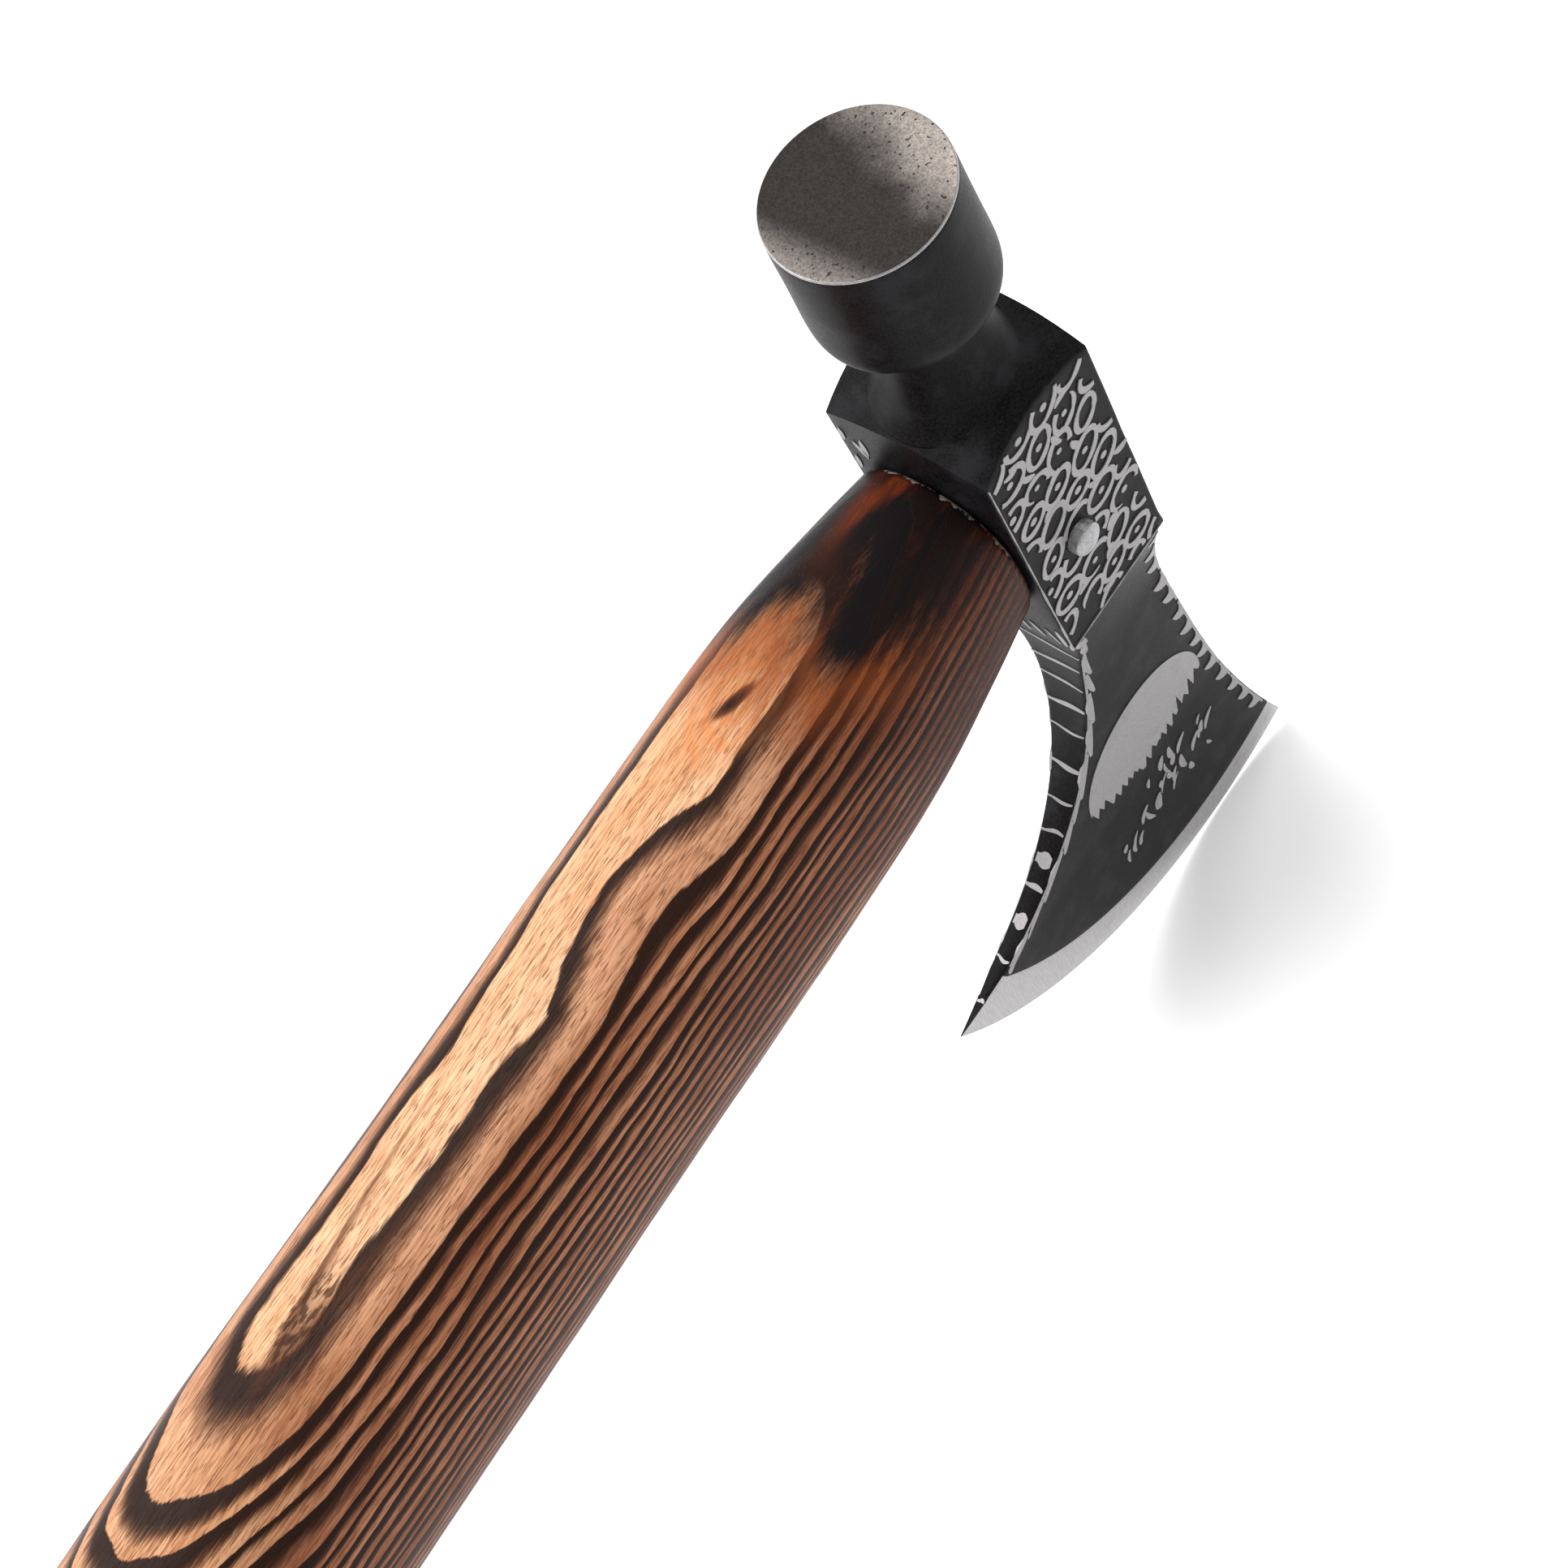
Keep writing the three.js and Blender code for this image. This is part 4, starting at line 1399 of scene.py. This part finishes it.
# %% Handle sections
HANDLE_STATIONS = [
    (0, 22.2, 17), (6, 23.6, 18.2), (30, 22.8, 17.6), (75, 19.2, 15.6), (130, 18.9, 15.4),
    (185, 20.3, 16.1), (240, 21.6, 16.9), (300, 21.3, 16.6), (348, 21.2, 16.5), (370, 20.4, 16.1),
    (385, 18.4, 14.5), (SHOULDER_X, 15.9, 12.6),
]  # from the butt, half depth, half width
HANDLE_SAG = 3.0
SQUARENESS = 2.25  # 2 is an oval, and more is squarer
OVAL = 2.0
HANDLE_SIDES = 128
BUTT_ROUND = 2.2
BUTT_FLAT = (20.6, 15.4)  # half depth and half width of the flat that the rounding leaves
SHOULDER_ROUND = (0.15, 0.8)
TENON_ROUND = (0.12, 0.7)
TENON_END = EYE_X + BLOCK_HALF_HEIGHT + TENON_PROUD


def section_at(x):
    depth = flowing([(s[0], s[1]) for s in HANDLE_STATIONS], x)
    width = flowing([(s[0], s[2]) for s in HANDLE_STATIONS], x)
    return depth, width


def ring_list():
    """Rings from the middle of the butt to the middle of the tenon's end: x, depth, width, power."""
    flat = (0.02, 0.3, 0.6, 0.85, 0.97, 1.0)
    rings = [(0.0, share * BUTT_FLAT[0], share * BUTT_FLAT[1], SQUARENESS) for share in flat]
    for turn in (0.3, 0.6, 0.85, 1.0):
        x = BUTT_ROUND * (1 - cos(turn * pi / 2))
        depth, width = section_at(x)
        pull = BUTT_ROUND * (1 - sin(turn * pi / 2)) * 0.7
        rings.append((x, depth - pull, width - pull, SQUARENESS))
    for x in np.linspace(4, SHOULDER_X - 1.2, 190):
        rings.append((float(x), *section_at(x), SQUARENESS))
    depth, width = section_at(SHOULDER_X)
    for x, pull in zip((SHOULDER_X - 0.5, SHOULDER_X), SHOULDER_ROUND):
        rings.append((x, depth - pull, width - pull, SQUARENESS))
    deep, wide = TENON_HALF_DEPTH, TENON_HALF_WIDTH
    for x in (SHOULDER_X + 0.01, SHOULDER_X + 6, EYE_X, EYE_X + 6, TENON_END - 1.2):
        rings.append((x, deep, wide, OVAL))
    for x, pull in zip((TENON_END - 0.35, TENON_END), TENON_ROUND):
        rings.append((x, deep - pull, wide - pull, OVAL))
    return rings + [(TENON_END, deep * share, wide * share, OVAL) for share in (0.7, 0.35, 0.02)]


# %% The stick
def handle_tube():
    rings = ring_list()
    bm = bmesh.new()
    bmesh.ops.create_grid(bm, x_segments=HANDLE_SIDES, y_segments=len(rings) - 1, size=1)
    for vertex in bm.verts:
        turn = (vertex.co.x + 1) * pi
        x, depth, width, power = rings[round((vertex.co.y + 1) / 2 * (len(rings) - 1))]
        sag = HANDLE_SAG * sin(pi * min(x / EYE_X, 1.0))
        y = abs(cos(turn)) ** (2 / power) * width * (1 if cos(turn) > 0 else -1)
        z = abs(sin(turn)) ** (2 / power) * depth * (1 if sin(turn) > 0 else -1) - sag
        vertex.co = (x, y, z)
        if 10 < x < SHOULDER_X - 8:
            swell = noise.noise(vertex.co * 0.035) + 0.5 * noise.noise(vertex.co * 0.11)
            vertex.co.y *= 1 + 0.008 * swell
            vertex.co.z *= 1 + 0.006 * swell
    bmesh.ops.remove_doubles(bm, verts=bm.verts[:], dist=0.002)
    ends = [edge for edge in bm.edges if len(edge.link_faces) == 1]
    bmesh.ops.holes_fill(bm, edges=ends, sides=0)
    bmesh.ops.recalc_face_normals(bm, faces=bm.faces[:])
    bmesh.ops.scale(bm, vec=(MM, MM, MM), verts=bm.verts[:])
    print(f"handle: {measured(bm, MM)}")
    return bm


# %% Wedges and the kerf they are driven into
KERF_WEDGE = {"length": 22, "thick": 3.2, "thin": 1.0, "wide": 23}
STEEL_WEDGE = {"length": 10, "thick": 2.0, "thin": 0.8, "wide": 13, "place": 6.5}
SLOT_GAP = 0.06


def wedge(size, across, reach=0.0, corner=0.18, place=0.0):
    """A tapered plate driven in from the tenon's end. across is the axis that it is thin along."""
    bm = bmesh.new()
    bmesh.ops.create_cube(bm, size=2)
    for vertex in bm.verts:
        at_head = vertex.co.x > 0
        half = (size["thick"] if at_head else size["thin"]) / 2 + reach
        thin, wide = vertex.co.y * half, vertex.co.z * (size["wide"] / 2 + reach)
        x = TENON_END + (reach * 4 if at_head else -size["length"] - reach)
        vertex.co = (x, thin, wide) if across == "Y" else (x, wide, thin + place)
    bmesh.ops.recalc_face_normals(bm, faces=bm.faces[:])
    if corner:
        bmesh.ops.bevel(
            bm, geom=bm.edges[:], offset=corner, offset_type="OFFSET", affect="EDGES", segments=2,
            profile=0.5, material=-1, clamp_overlap=True,
        )
    bmesh.ops.scale(bm, vec=(MM, MM, MM), verts=bm.verts[:])
    return bm


def cut_slots(piece):
    """Room for both steel wedges and the pin."""
    for side in (1, -1):
        slot = wedge(STEEL_WEDGE, "Z", SLOT_GAP, 0, side * STEEL_WEDGE["place"])
        combine(piece, as_object("slot_tool", slot), "DIFFERENCE")
    combine(piece, pin_cutter(), "DIFFERENCE")


# %% Cut the tenon
handle = as_object("shaved_handle", handle_tube())
combine(handle, as_object("kerf_tool", wedge(KERF_WEDGE, "Y", SLOT_GAP, 0)), "DIFFERENCE")
cut_slots(handle)
assign(handle, [TORCHED_ASH], lambda polygon: 0, 40)
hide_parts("handle")

# %% [markdown]
# ## Wedges and pin
# A hardwood wedge spreads the tenon in the eye, and two small steel ones driven across it keep it
# there. A steel pin through both cheeks locks the head. Tapered cubes with bevelled edges make the
# wedges, and a spun profile makes the pin, whose ends the hammer spread into low domes.


# %% Wedge and pin finishes
def wedge_wood():
    material, tree, shader, place = new_material("wedge hardwood", roughness=0.6)
    fibres = use_group(tree, fibre_group, Place=place, Stretch=0.25)
    dark = blend(tree, step(tree, fibres["Fibre"], 0.3, 0.7), (0.13, 0.058, 0.028), (0.26, 0.125, 0.062))
    feed(tree, shader.inputs["Base Color"], blend(tree, fibres["Pores"], dark, (0.05, 0.022, 0.012)))
    raise_bump(tree, shader, fibres["Height"], 0.08, 0.5)
    return material


def peened_steel():
    """The pin and the steel wedges: bright where the hammer met them, grey in the dents."""
    material, tree, shader, place = new_material("peened steel", metallic=0.75)
    look = use_group(tree, grain, Place=place, Size=0.4)
    dents = put(tree, "ShaderNodeTexVoronoi", {"feature": "SMOOTH_F1"}, Vector=place, Scale=0.9).outputs[0]
    light = blend(tree, step(tree, look["Fine"], 0.3, 0.7), (0.25, 0.245, 0.25), (0.40, 0.395, 0.40))
    feed(tree, shader.inputs["Base Color"], light)
    feed(tree, shader.inputs["Roughness"], step(tree, look["Fine"], 0.2, 0.8, 0.30, 0.45))
    relief = plus(tree, look["Height"], times(tree, dents, 2.0))
    raise_bump(tree, shader, relief, 0.05, 0.5)
    return material


PEENED = peened_steel()
WEDGE_WOOD = wedge_wood()
print("finishes:", PEENED.name, "and", WEDGE_WOOD.name)

# %% The wedges
kerf = as_object("hardwood_wedge", wedge(KERF_WEDGE, "Y"))
cut_slots(kerf)
assign(kerf, [WEDGE_WOOD], lambda polygon: 0)
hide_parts("kerf_wedge")
for side, node in ((1, "steel_wedge_poll_side"), (-1, "steel_wedge_blade_side")):
    steel = as_object(node + "_driven", wedge(STEEL_WEDGE, "Z", place=side * STEEL_WEDGE["place"]))
    assign(steel, [PEENED], lambda polygon: 0)
    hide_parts(node)

# %% The pin, its ends peened into low domes
PIN_PROUD = 2.2
PIN_DOME = 0.7
PEEN_DENTS = 0.004


def pin_body():
    half = BLOCK_HALF_WIDTH + PIN_PROUD
    dome = [
        (PIN_RADIUS * sin(turn), half - PIN_DOME * (1 - cos(turn)))
        for turn in np.linspace(0, pi / 2, 9)
    ]
    foot = [(radius, -height) for radius, height in dome]
    bm = spun(foot + dome[::-1], 48)
    bmesh.ops.rotate(bm, cent=(0, 0, 0), matrix=Matrix.Rotation(pi / 2, 3, "X"), verts=bm.verts[:])
    bmesh.ops.translate(bm, vec=PIN_PLACE + DOWN_TO_AXIS, verts=bm.verts[:])
    for vertex in bm.verts:
        if abs(vertex.co.y) > half - PIN_DOME - 0.01:
            vertex.co.y *= 1 - PEEN_DENTS * (1 + noise.noise(vertex.co * 0.9))
    return place_head(bm)


pin = as_object("peened_pin", pin_body())
assign(pin, [PEENED], lambda polygon: 0)
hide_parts("cross_pin")
